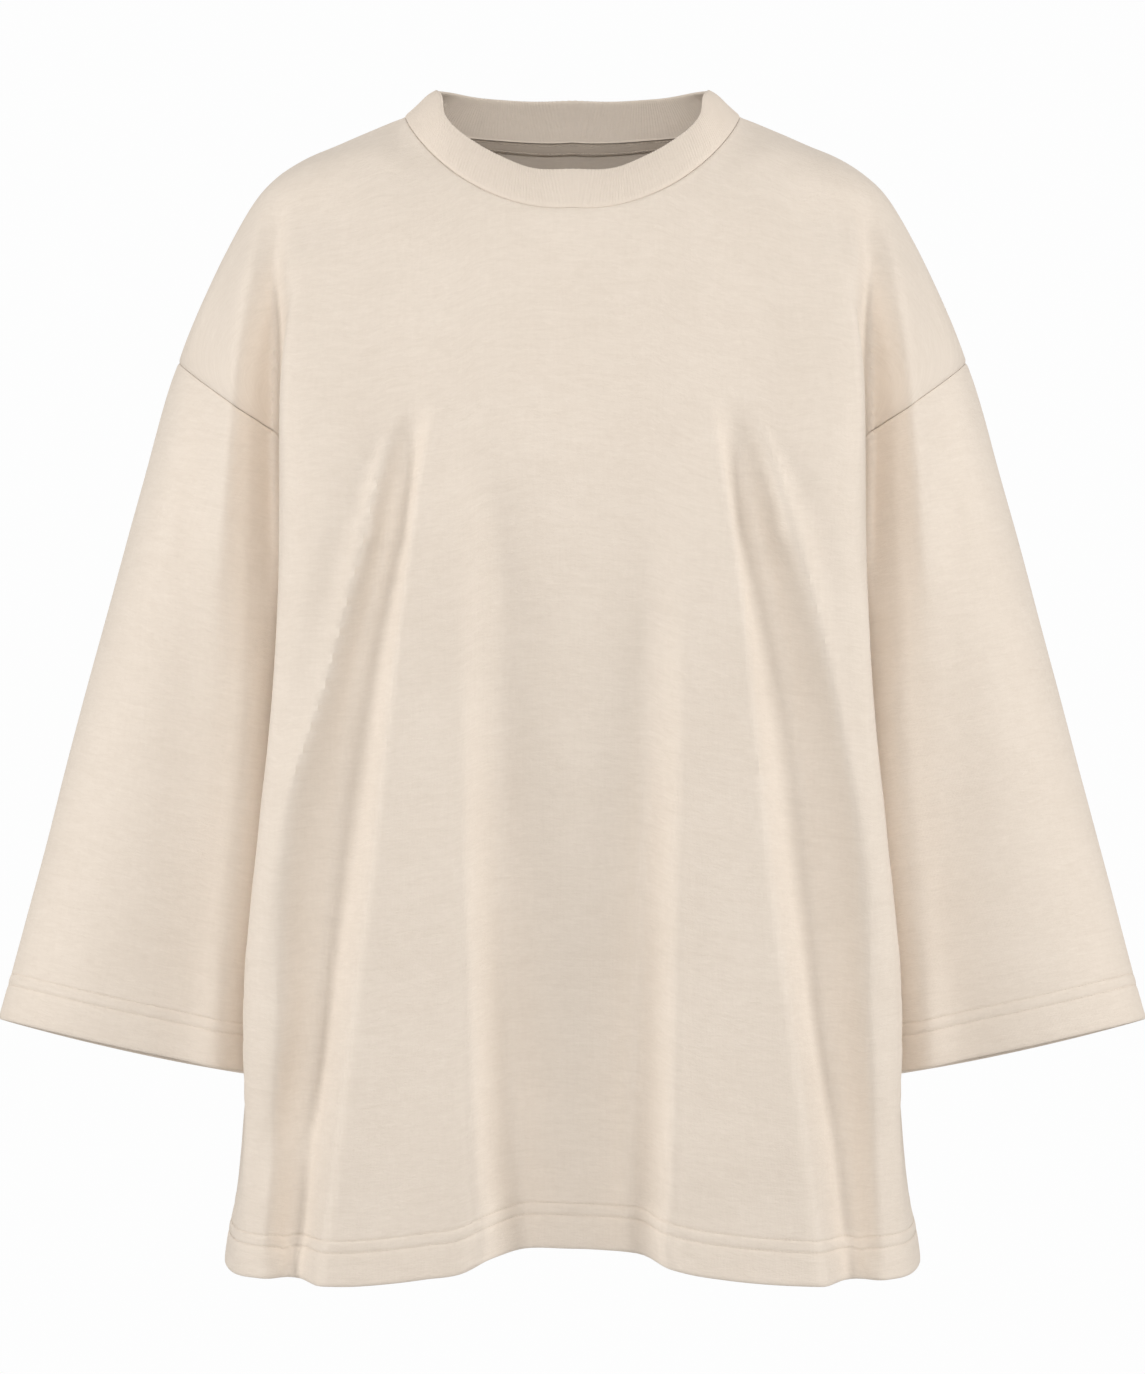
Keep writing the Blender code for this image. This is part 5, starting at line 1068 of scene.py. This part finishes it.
def knit(name, base, dark, wale=0.00095, course=0.00075, knit_bump=0.35, rough=0.93, sheen=0.22):
    """matt cotton jersey: columns of small V stitches, slub streaks, nap"""
    m = bpy.data.materials.new(name)
    nt, b = nodes_of(m)
    tc = nt.nodes.new("ShaderNodeTexCoord")
    uv, ob = tc.outputs["UV"], tc.outputs["Object"]
    sep = nt.nodes.new("ShaderNodeSeparateXYZ")
    nt.links.new(uv, sep.inputs[0])
    wob = noise_node(nt, scaled(nt, uv, 180, 180), 1.0, 1.0)
    u = math_node(nt, "ADD", math_node(nt, "MULTIPLY", sep.outputs[0], 1 / wale), math_node(nt, "MULTIPLY", wob, 0.8))
    v = math_node(nt, "ADD", math_node(nt, "MULTIPLY", sep.outputs[1], 1 / course), math_node(nt, "MULTIPLY", wob, 0.6))
    fu = math_node(nt, "SUBTRACT", math_node(nt, "FRACT", u), 0.5)
    au = math_node(nt, "ABSOLUTE", fu)
    leg = math_node(nt, "SINE", math_node(nt, "MULTIPLY", math_node(nt, "ADD", v, math_node(nt, "MULTIPLY", au, 1.5)), 2 * math.pi))
    wcol = math_node(nt, "MULTIPLY", math_node(nt, "MULTIPLY", au, au), -3.2)
    stitch = math_node(nt, "ADD", wcol, math_node(nt, "MULTIPLY", leg, 0.35))
    streak = noise_node(nt, scaled(nt, uv, 170, 560), 1.0, 3.0, 0.62, 0.9)
    slub = noise_node(nt, scaled(nt, uv, 420, 60), 1.0, 2.0, 0.55, 0.3)
    long_streak = noise_node(nt, scaled(nt, uv, 42, 230), 1.0, 3.0, 0.60, 1.3)
    nap = noise_node(nt, ob, 2100.0, 2.0, 0.65)
    cloud = noise_node(nt, ob, 17.0, 3.0, 0.55)
    tone = math_node(nt, "ADD", math_node(nt, "MULTIPLY", streak, 0.30), math_node(nt, "MULTIPLY", slub, 0.14))
    tone = math_node(nt, "ADD", tone, math_node(nt, "MULTIPLY", long_streak, 0.36))
    tone = math_node(nt, "ADD", tone, math_node(nt, "MULTIPLY", nap, 0.12))
    tone = math_node(nt, "ADD", tone, math_node(nt, "MULTIPLY", cloud, 0.25))
    ramp = nt.nodes.new("ShaderNodeMapRange")
    ramp.inputs["From Min"].default_value = 0.42
    ramp.inputs["From Max"].default_value = 0.74
    nt.links.new(tone, ramp.inputs["Value"])
    col = mix_colour(nt, ramp.outputs[0], dark, base)
    nt.links.new(col, b.inputs["Base Color"])
    n1 = bump_node(nt, stitch, knit_bump, 0.00012)
    n2 = bump_node(nt, streak, 0.55, 0.00045, n1)
    n3 = bump_node(nt, nap, 0.35, 0.00020, n2)
    nt.links.new(n3, b.inputs["Normal"])
    b.inputs["Roughness"].default_value = rough
    b.inputs["Specular IOR Level"].default_value = 0.18
    b.inputs["Sheen Weight"].default_value = sheen
    b.inputs["Sheen Roughness"].default_value = 0.55
    b.inputs["Sheen Tint"].default_value = (1.0, 0.95, 0.88, 1.0)
    return m


def thread(name, base):
    m = bpy.data.materials.new(name)
    nt, b = nodes_of(m)
    tc = nt.nodes.new("ShaderNodeTexCoord")
    f = noise_node(nt, tc.outputs["Object"], 3500.0, 2.0, 0.6)
    nt.links.new(mix_colour(nt, f, tuple(0.93 * q for q in base), base), b.inputs["Base Color"])
    nt.links.new(bump_node(nt, f, 0.5, 0.0001), b.inputs["Normal"])
    b.inputs["Roughness"].default_value = 0.62
    b.inputs["Specular IOR Level"].default_value = 0.30
    b.inputs["Sheen Weight"].default_value = 0.10
    return m


CREAM = (0.815, 0.720, 0.620)
CREAM_LOW = (0.738, 0.642, 0.543)
JERSEY = knit("jersey_look", CREAM, CREAM_LOW)
RIB = knit("rib_look", (0.780, 0.682, 0.582), (0.745, 0.646, 0.546), wale=0.00105, course=0.0008, knit_bump=0.30, sheen=0.18)
TAPE = knit("tape_look", (0.760, 0.662, 0.560), (0.725, 0.627, 0.526), wale=0.0008, course=0.0008)
THREAD = thread("thread_look", (0.800, 0.710, 0.612))

# ------------------------------------------------------------------ panels and sleeves
made = {}
for name in NAMES:
    p = parts[name]
    P, N, h = p["P"], p["N"], p["h"]
    wrap = p["wrap"]
    P, off = draw_back(P, N, wrap)
    p["edge"] = off
    top = p["lines"][0] + 0.0008
    t = CLOTH + CLOTH * (1 - sstep(h, top - 0.0004, top + 0.0006))
    # the turned edge is round
    lip = 0.0010 * np.clip(1 - h / 0.0016, 0, 1) ** 2
    outer = P - N * lip[..., None]
    inner = P - N * (t - lip)[..., None]
    p["outer"], p["inner"] = outer, inner
    V, F = shell_mesh(outer, inner, wrap)
    # outward winding
    a, b, c, d = (V[F[:, q]] for q in range(4))
    vol = (np.einsum("ij,ij->i", a, np.cross(b, c)) + np.einsum("ij,ij->i", a, np.cross(c, d))).sum()
    if vol < 0:
        F = F[:, ::-1]
    row = p["row"]
    nc, nr = outer.shape[:2]
    if wrap:
        u = row[:nc] - 0.0
    else:
        u = row - row[nc // 2][None]
    uv = np.stack([u, h], -1).reshape(-1, 2)
    ob = mesh_object(name + "_cloth", V, F, np.vstack([uv, uv]), JERSEY)
    if wrap:
        # the last strip joins the ends of the net, so its far corners carry on the measure
        me = ob.data
        lay = me.uv_layers["UVMap"]
        q = np.empty(len(me.loops) * 2, np.float32)
        lay.data.foreach_get("uv", q)
        q = q.reshape(-1, 4, 2)
        L = float(row[-1].mean())
        wide_face = (q[..., 0].max(1) - q[..., 0].min(1)) > 0.5 * L
        sel = wide_face[:, None] & (q[..., 0] < 0.5 * L)
        q[..., 0] = np.where(sel, q[..., 0] + L, q[..., 0])
        lay.data.foreach_set("uv", q.reshape(-1))
    made[name] = ob

# ------------------------------------------------------------------ neckband
F_, B_ = parts["front"], parts["back"]


def middle_out(G):
    """columns from the middle to the wearer's left, whichever way the net runs"""
    m = len(G) // 2
    q = G[m:m + N_NECK + 1, 0]
    r = G[m - N_NECK:m + 1, 0][::-1]
    return q, r


def neck_line(key):
    ls, rs = [], []
    for p in (F_, B_):
        a, b = middle_out(p[key])
        ref, _ = middle_out(p["P"])
        if ref[-1, 0] < 0:
            a, b = b, a
        ls.append(a); rs.append(b)
    right = np.vstack([ls[0], ls[1][::-1][1:]])
    left = np.vstack([rs[1][1:], rs[0][::-1][1:-1]])
    return np.vstack([right, left])


for p in (F_, B_):
    p["edge3"] = p["edge"]
ring, gring, nring, oring = neck_line("P"), neck_line("G"), neck_line("N"), unit(neck_line("edge3"))
top = collar_top(gring)
ANG = np.degrees(np.arctan2(np.abs(gring[:, 1]) / NECK_FRONT, np.abs(gring[:, 0]) / NECK_HALF))
top[:, 0] += np.where(gring[:, 1] < 0, np.sign(gring[:, 0]) * (0.0080 * np.exp(-((ANG - 37) / 14.0) ** 2) - 0.0050 * np.exp(-((ANG - 68) / 13.0) ** 2)), 0.0)


def closed_sample(A, f):
    n = len(A)
    W = np.concatenate([A[-2:], A, A[:3]], 0)
    return cubic_rows(W, f + 2)


def smooth_closed(A, k):
    for _ in range(k):
        A = 0.5 * A + 0.25 * (np.roll(A, 1, 0) + np.roll(A, -1, 0))
    return A


oring, nring = unit(smooth_closed(oring, 2)), unit(smooth_closed(nring, 1))
loop = np.vstack([ring, ring[:1]])
s_ = arc_of(loop)
RIBS = int(round(0.5 * (s_[-1] + arc_of(np.vstack([top, top[:1]]))[-1]) / 0.0021))
PER = 6
frac = np.interp(np.arange(RIBS * PER) / (RIBS * PER) * s_[-1], s_, np.arange(len(loop)))
r0, g0, t0, n0, o0 = (closed_sample(A, frac) for A in (ring, gring, top, nring, oring))
n0, o0 = unit(n0), unit(o0)
d0 = unit(t0 - g0)
tan = unit(np.roll(g0, -1, 0) - np.roll(g0, 1, 0))
nb = unit(np.cross(tan, d0))
if (nb * n0).sum() < 0:
    nb = -nb
LEN = np.linalg.norm(t0 - g0, axis=1)
T = 2 * CLOTH
phase = np.arange(RIBS * PER) / PER
ribw = np.cos(2 * np.pi * phase)
ribw = np.sign(ribw) * np.abs(ribw) ** 0.8
mm_at = np.array([0.0, 0.0004, 0.0009, 0.0016, 0.0026, 0.0045, 0.0072, 0.0102, 0.0132, 0.0160, 0.0186, 0.0208, 0.0225])
prof = []
wobble = fine_(g0)
AT_SIDE = np.clip(np.abs(g0[:, 0]) / NECK_HALF, 0, 1) ** 5      # at the shoulders the band is a little hollow and its edge rolls inward
CROWN = np.exp(-((g0[:, 1] + 0.006) / 0.026) ** 2) * (np.abs(g0[:, 0]) > 0.05)  # over the shoulder the rim is rounded off, not peaked
scale_up = (LEN - 0.0013 - 0.0045 * CROWN) / 0.0225


def band_point(sm, side_):
    s = sm / 0.0225
    along = sm * scale_up
    blend = np.clip(sm / 0.004, 0, 1)
    nn = unit(n0 * (1 - blend) + nb * blend)
    bulge = 0.0013 * 4 * s * (1 - s) * (0.9 - 1.5 * AT_SIDE) + 0.00025 * wobble * s - 0.0022 * AT_SIDE * max(s - 0.65, 0.0) ** 2 / 0.1225
    sink = 0.00085 * math.exp(-(sm / 0.0012) ** 2)
    rib_h = 0.00010 * ribw * float(sstep(sm, 0.0003, 0.0020))
    start = r0 - o0 * SEAM if sm == 0 else g0
    base = start + d0 * along[:, None] if sm > 0 else start
    if side_ == "out":
        return base + nn * (bulge + rib_h - (sink if sm > 0 else 0.0))[:, None]
    return base + nn * (bulge - rib_h - T - (sink if sm > 0 else 0.0) * 0.5)[:, None]


for sm in mm_at:
    prof.append(band_point(float(sm), "out"))
o_top, i_top = prof[-1], band_point(0.0225, "in")
ctr = (o_top + i_top) / 2
half_t = np.linalg.norm(o_top - i_top, axis=1) / 2
for ang in (35, 65, 90, 115, 145):
    a = math.radians(ang)
    prof.append(ctr + nb * (half_t * math.cos(a))[:, None] + d0 * ((half_t * 1.05 + 0.00005 * ribw) * math.sin(a))[:, None])
for sm in mm_at[::-1]:
    prof.append(band_point(float(sm), "in"))
loops = np.stack(prof, 1)
nc, npf = loops.shape[:2]
i = np.arange(nc)[:, None]; j = np.arange(npf)[None]
a, b = i * npf + j, ((i + 1) % nc) * npf + j
c, d = ((i + 1) % nc) * npf + (j + 1) % npf, i * npf + (j + 1) % npf
F = np.stack([a, b, c, d], -1).reshape(-1, 4)
V = loops.reshape(-1, 3)
A_, B2, C_, D_ = (V[F[:, q]] for q in range(4))
vol = (np.einsum("ij,ij->i", A_, np.cross(B2, C_)) + np.einsum("ij,ij->i", A_, np.cross(C_, D_))).sum()
if vol < 0:
    F = F[:, ::-1]
su = phase * 0.0021
sv = np.r_[mm_at, 0.0225 + np.array([0.0006, 0.0010, 0.0014, 0.0018, 0.0022]), 0.0475 - mm_at[::-1]]
uv = np.stack(np.meshgrid(su, sv, indexing="ij"), -1).reshape(-1, 2)
made["collar"] = mesh_object("collar_cloth", V, F, uv, RIB)

# ------------------------------------------------------------------ tape inside the back of the neck
keep = int(np.searchsorted(COLS, 18.0))
m = len(B_["inner"]) // 2
idx = np.arange(m - keep, m + keep + 1)
dist = np.array([0.0010, 0.0014, 0.0022, 0.0030, 0.0040, 0.0056, 0.0072, 0.0088, 0.0096, 0.0104, 0.0111, 0.0115])
up, dn = [], []
for q in idx:
    col = B_["inner"][q]; nrm = B_["N"][q]
    s = arc_of(col)
    pt = np.stack([np.interp(dist, s, col[:, w]) for w in range(3)], 1)
    nn = unit(np.stack([np.interp(dist, s, nrm[:, w]) for w in range(3)], 1))
    edge = np.minimum(dist - dist[0], dist[-1] - dist)
    g = 0.00022 * np.exp(-((dist - 0.0030) / 0.0006) ** 2) + 0.00022 * np.exp(-((dist - 0.0096) / 0.0006) ** 2)
    puff = 0.00020 * sstep(edge, 0.0, 0.002)
    up.append(pt - nn * 0.0006)
    dn.append(pt - nn * (0.0012 + puff - g - 0.00035 * (1 - sstep(edge, 0.0, 0.0006)))[:, None])
up, dn = np.array(up), np.array(dn)
fine_cols = np.linspace(0, len(idx) - 1, (len(idx) - 1) * 2 + 1)
up, dn = cubic_rows(up, fine_cols), cubic_rows(dn, fine_cols)
V, F = shell_mesh(up, dn, False)
A_, B2, C_, D_ = (V[F[:, q]] for q in range(4))
vol = (np.einsum("ij,ij->i", A_, np.cross(B2, C_)) + np.einsum("ij,ij->i", A_, np.cross(C_, D_))).sum()
if vol < 0:
    F = F[:, ::-1]
ru = along_rows(up, False)
uv = np.stack([ru - ru[len(up) // 2][None], np.broadcast_to(dist, ru.shape)], -1).reshape(-1, 2)
made["neck_tape"] = mesh_object("neck_tape_cloth", V, F, np.vstack([uv, uv]), TAPE)
tape_in, tape_n = dn, -unit(np.cross(np.gradient(dn, axis=0), np.gradient(dn, axis=1)))
if ((dn - up) * tape_n).sum() < 0:
    tape_n = -tape_n

# ------------------------------------------------------------------ stitching
PITCH = 0.0025


def level_line(p, height):
    """a line on the outer face at one height over the hem, with its outward direction"""
    h, P, N = p["h"], p["outer"], p["N"]
    pts, nn = [], []
    for q in range(len(P)):
        hh = h[q][::-1]
        pts.append([np.interp(height, hh, P[q][::-1, w]) for w in range(3)])
        nn.append([np.interp(height, hh, N[q][::-1, w]) for w in range(3)])
    return np.array(pts), unit(np.array(nn))


rows = []
for k, name in enumerate(("front", "back")):
    for i, hgt in enumerate(HEM_LINES):
        L, NN = level_line(parts[name], hgt)
        rows.append(stitch_row(L, NN, PITCH, seed=10 * k + i, skip=0.0006))
V, F = join(rows)
made["hem_stitching"] = mesh_object("hem_stitching", V, F, None, THREAD)
for k, name in enumerate(("sleeve_left", "sleeve_right")):
    rows = []
    for i, hgt in enumerate(CUFF_LINES):
        L, NN = level_line(parts[name], hgt)
        rows.append(stitch_row(L, NN, PITCH, closed=True, seed=100 + 10 * k + i))
    V, F = join(rows)
    made["cuff_stitching" + name[6:]] = mesh_object("cuff_stitching" + name[6:], V, F, None, THREAD)
rows = []
for k, q in enumerate((3, 8)):
    rows.append(stitch_row(tape_in[:, q], tape_n[:, q], 0.0026, seed=200 + k, skip=0.002, r=0.00021))
V, F = join(rows)
made["tape_stitching"] = mesh_object("tape_stitching", V, F, None, THREAD)

# ------------------------------------------------------------------ seam allowances inside
def strip_mesh(name, path_a, nrm_a, path_b, nrm_b, gap=0.00025, thick=0.0013):
    """two trimmed layers lying flat over a seam: path_a runs from the seam into the panel that carries them, path_b into the other; [n, k, 3], normals outward"""
    P = np.concatenate([path_b[:, :0:-1], path_a], 1)
    N = unit(np.concatenate([nrm_b[:, :0:-1], nrm_a], 1))
    for _ in range(3):
        N[:, 1:-1] = unit(N[:, 1:-1] * 0.5 + 0.25 * (N[:, :-2] + N[:, 2:]))
    up, dn = P - N * gap, P - N * (gap + thick)
    V, F = shell_mesh(up, dn, False)
    A_, B2, C_, D_ = (V[F[:, q]] for q in range(4))
    vol = (np.einsum("ij,ij->i", A_, np.cross(B2, C_)) + np.einsum("ij,ij->i", A_, np.cross(C_, D_))).sum()
    if vol < 0:
        F = F[:, ::-1]
    s = along_rows(P, False)
    w = along_cols(P)
    uv = np.stack([s, w], -1).reshape(-1, 2)
    return mesh_object(name, V, F, np.vstack([uv, uv]), JERSEY)


def inward(p, lines, dists):
    """points on a panel's inner face at given distances in from an edge; lines: list of (points, normals) running in from the edge"""
    A, B = [], []
    for pts, nn in lines:
        s = arc_of(pts)
        A.append(np.stack([np.interp(dists, s, pts[:, w]) for w in range(3)], 1))
        B.append(np.stack([np.interp(dists, s, nn[:, w]) for w in range(3)], 1))
    return np.array(A), unit(np.array(B))


IN_A, IN_B = np.array([0.0, 0.0012, 0.0030, 0.0048, 0.0060]), np.array([0.0, 0.0009, 0.0018])
for sgn, label in ((1, "left"), (-1, "right")):
    fr, bk, sl = parts["front"], parts["back"], parts["sleeve_" + label]

    def edge_rows(p, r0_, r1_):
        e_first = p["G"][0, NT, 0] * sgn > 0
        res = []
        for r in range(r0_, r1_):
            seq = (p["inner"][:14, r], p["N"][:14, r]) if e_first else (p["inner"][::-1][:14, r], p["N"][::-1][:14, r])
            res.append(seq)
        return res
    # side seam, pressed to the back
    r_low = parts["front"]["G"].shape[1] - 8
    a, an = inward(bk, edge_rows(bk, NT + 2, r_low), IN_A)
    b, bn = inward(fr, edge_rows(fr, NT + 2, r_low), IN_B)
    made["side_allowance_" + label] = strip_mesh("side_allowance_" + label, a, an, b, bn)
    # armhole, pressed to the sleeve
    sp, sn_ = sl["inner"], sl["N"]
    lines_a, lines_b = [], []
    body_lines = {}
    for p in (fr, bk):
        e_first = p["G"][0, NT, 0] * sgn > 0
        for r in range(2, NT - 1):
            I, NN = p["inner"][:, r], p["N"][:, r]
            if not e_first:
                I, NN = I[::-1], NN[::-1]
            g = p["G"][0 if e_first else -1, r]
            body_lines[tuple(np.round(g * 1e6).astype(int))] = (I[:14], NN[:14])
    ringp = sl["G"][:, 0]
    picks = []
    for q in range(len(ringp)):
        key = tuple(np.round(ringp[q] * 1e6).astype(int))
        if key in body_lines:
            picks.append(q)
            lines_a.append((sp[q, :12], sn_[q, :12]))
            lines_b.append(body_lines[key])
    picks = np.array(picks)
    # split where the ring is interrupted (shoulder end and underarm)
    cuts = np.where(np.diff(picks) > 1)[0]
    groups = np.split(np.arange(len(picks)), cuts + 1)
    for gi, gsel in enumerate(groups):
        if len(gsel) < 8:
            continue
        a, an = inward(sl, [lines_a[w] for w in gsel], IN_A)
        b, bn = inward(fr, [lines_b[w] for w in gsel], IN_B)
        nm = f"armhole_allowance_{label}_{gi}"
        made[nm] = strip_mesh(nm, a, an, b, bn)
    # shoulder seam, pressed to the back
    la, lb = [], []
    e_first = bk["G"][0, NT, 0] * sgn > 0
    cols_b = range(N_NECK + 1, len(COLS) - 5)
    mid = len(bk["G"]) // 2
    sb = -1 if e_first else 1
    e_first_f = fr["G"][0, NT, 0] * sgn > 0
    sf = -1 if e_first_f else 1
    for q in cols_b:
        la.append((bk["inner"][mid + sb * q, :10], bk["N"][mid + sb * q, :10]))
        lb.append((fr["inner"][mid + sf * q, :10], fr["N"][mid + sf * q, :10]))
    a, an = inward(bk, la, IN_A)
    b, bn = inward(fr, lb, IN_B)
    made["shoulder_allowance_" + label] = strip_mesh("shoulder_allowance_" + label, a, an, b, bn)

# ------------------------------------------------------------------ into the frame
for k, ob in made.items():
    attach(ob, "root")
    if k in ("front", "back", "sleeve_left", "sleeve_right", "collar", "neck_tape"):
        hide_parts(k)

# ------------------------------------------------------------------ stage, light, camera
sc = bpy.context.scene
floor = bpy.data.meshes.new("floor")
ring_n = 96
fv = [(0.0, 0.0, -2.3)] + [(3.6 * math.cos(2 * math.pi * q / ring_n), 3.6 * math.sin(2 * math.pi * q / ring_n), -2.3) for q in range(ring_n)]
floor.from_pydata(fv, [], [(0, 1 + q, 1 + (q + 1) % ring_n) for q in range(ring_n)])
fo = bpy.data.objects.new("floor", floor)
sc.collection.objects.link(fo)
fm = bpy.data.materials.new("floor_pale")
nt, b = nodes_of(fm)
b.inputs["Base Color"].default_value = (0.90, 0.90, 0.90, 1)
b.inputs["Roughness"].default_value = 0.9
floor.materials.append(fm)

world = bpy.data.worlds.new("studio")
sc.world = world
world.use_nodes = True
nt = world.node_tree
nt.nodes.clear()
outw = nt.nodes.new("ShaderNodeOutputWorld")
see, lit, mixw, lp = nt.nodes.new("ShaderNodeBackground"), nt.nodes.new("ShaderNodeBackground"), nt.nodes.new("ShaderNodeMixShader"), nt.nodes.new("ShaderNodeLightPath")
see.inputs["Color"].default_value = (0.984, 0.985, 0.985, 1)
see.inputs["Strength"].default_value = 1.0
lit.inputs["Color"].default_value = (1.0, 0.99, 0.98, 1)
lit.inputs["Strength"].default_value = 0.20
nt.links.new(lp.outputs["Is Camera Ray"], mixw.inputs[0])
nt.links.new(lit.outputs[0], mixw.inputs[1])
nt.links.new(see.outputs[0], mixw.inputs[2])
nt.links.new(mixw.outputs[0], outw.inputs[0])


def area_light(name, loc, size, power, target, colour=(1, 1, 1), tall=None):
    l = bpy.data.lights.new(name, "AREA")
    l.shape = "DISK" if tall is None else "RECTANGLE"
    l.size = size
    if tall is not None:
        l.size_y = tall
    l.energy = power
    l.color = colour
    o = bpy.data.objects.new(name, l)
    sc.collection.objects.link(o)
    o.location = loc
    o.rotation_euler = (Vector(target) - Vector(loc)).to_track_quat("-Z", "Y").to_euler()
    return o


area_light("front_strip_left", (0.9, -2.0, -0.25), 0.3, 7.0, (0, 0, -0.30), tall=2.2)
area_light("front_strip_right", (-0.9, -2.0, -0.25), 0.3, 7.0, (0, 0, -0.30), tall=2.2)
area_light("front_high", (0.0, -3.2, 1.5), 0.8, 48, (0, 0, -0.30))
area_light("top", (0.0, -1.2, 2.6), 1.4, 10, (0, 0, -0.35))
area_light("side_left", (3.0, -0.56, 0.0), 0.9, 41, (0, 0, -0.35))
area_light("side_right", (-3.0, -0.56, 0.0), 0.9, 41, (0, 0, -0.35))
area_light("back", (0.2, 3.2, 1.6), 2.0, 20, (0, 0, -0.35))

cam = bpy.data.cameras.new("camera")
cam.lens = 116.4
cam.sensor_width = 36
cam.sensor_fit = "AUTO"
co = bpy.data.objects.new("camera", cam)
sc.collection.objects.link(co)
co.location = (0.0, -3.0, -0.20)
co.rotation_euler = (Vector((0, 0, -0.385)) - co.location).to_track_quat("-Z", "Y").to_euler()
sc.camera = co
sc.view_settings.view_transform = "Standard"
sc.view_settings.look = "None"
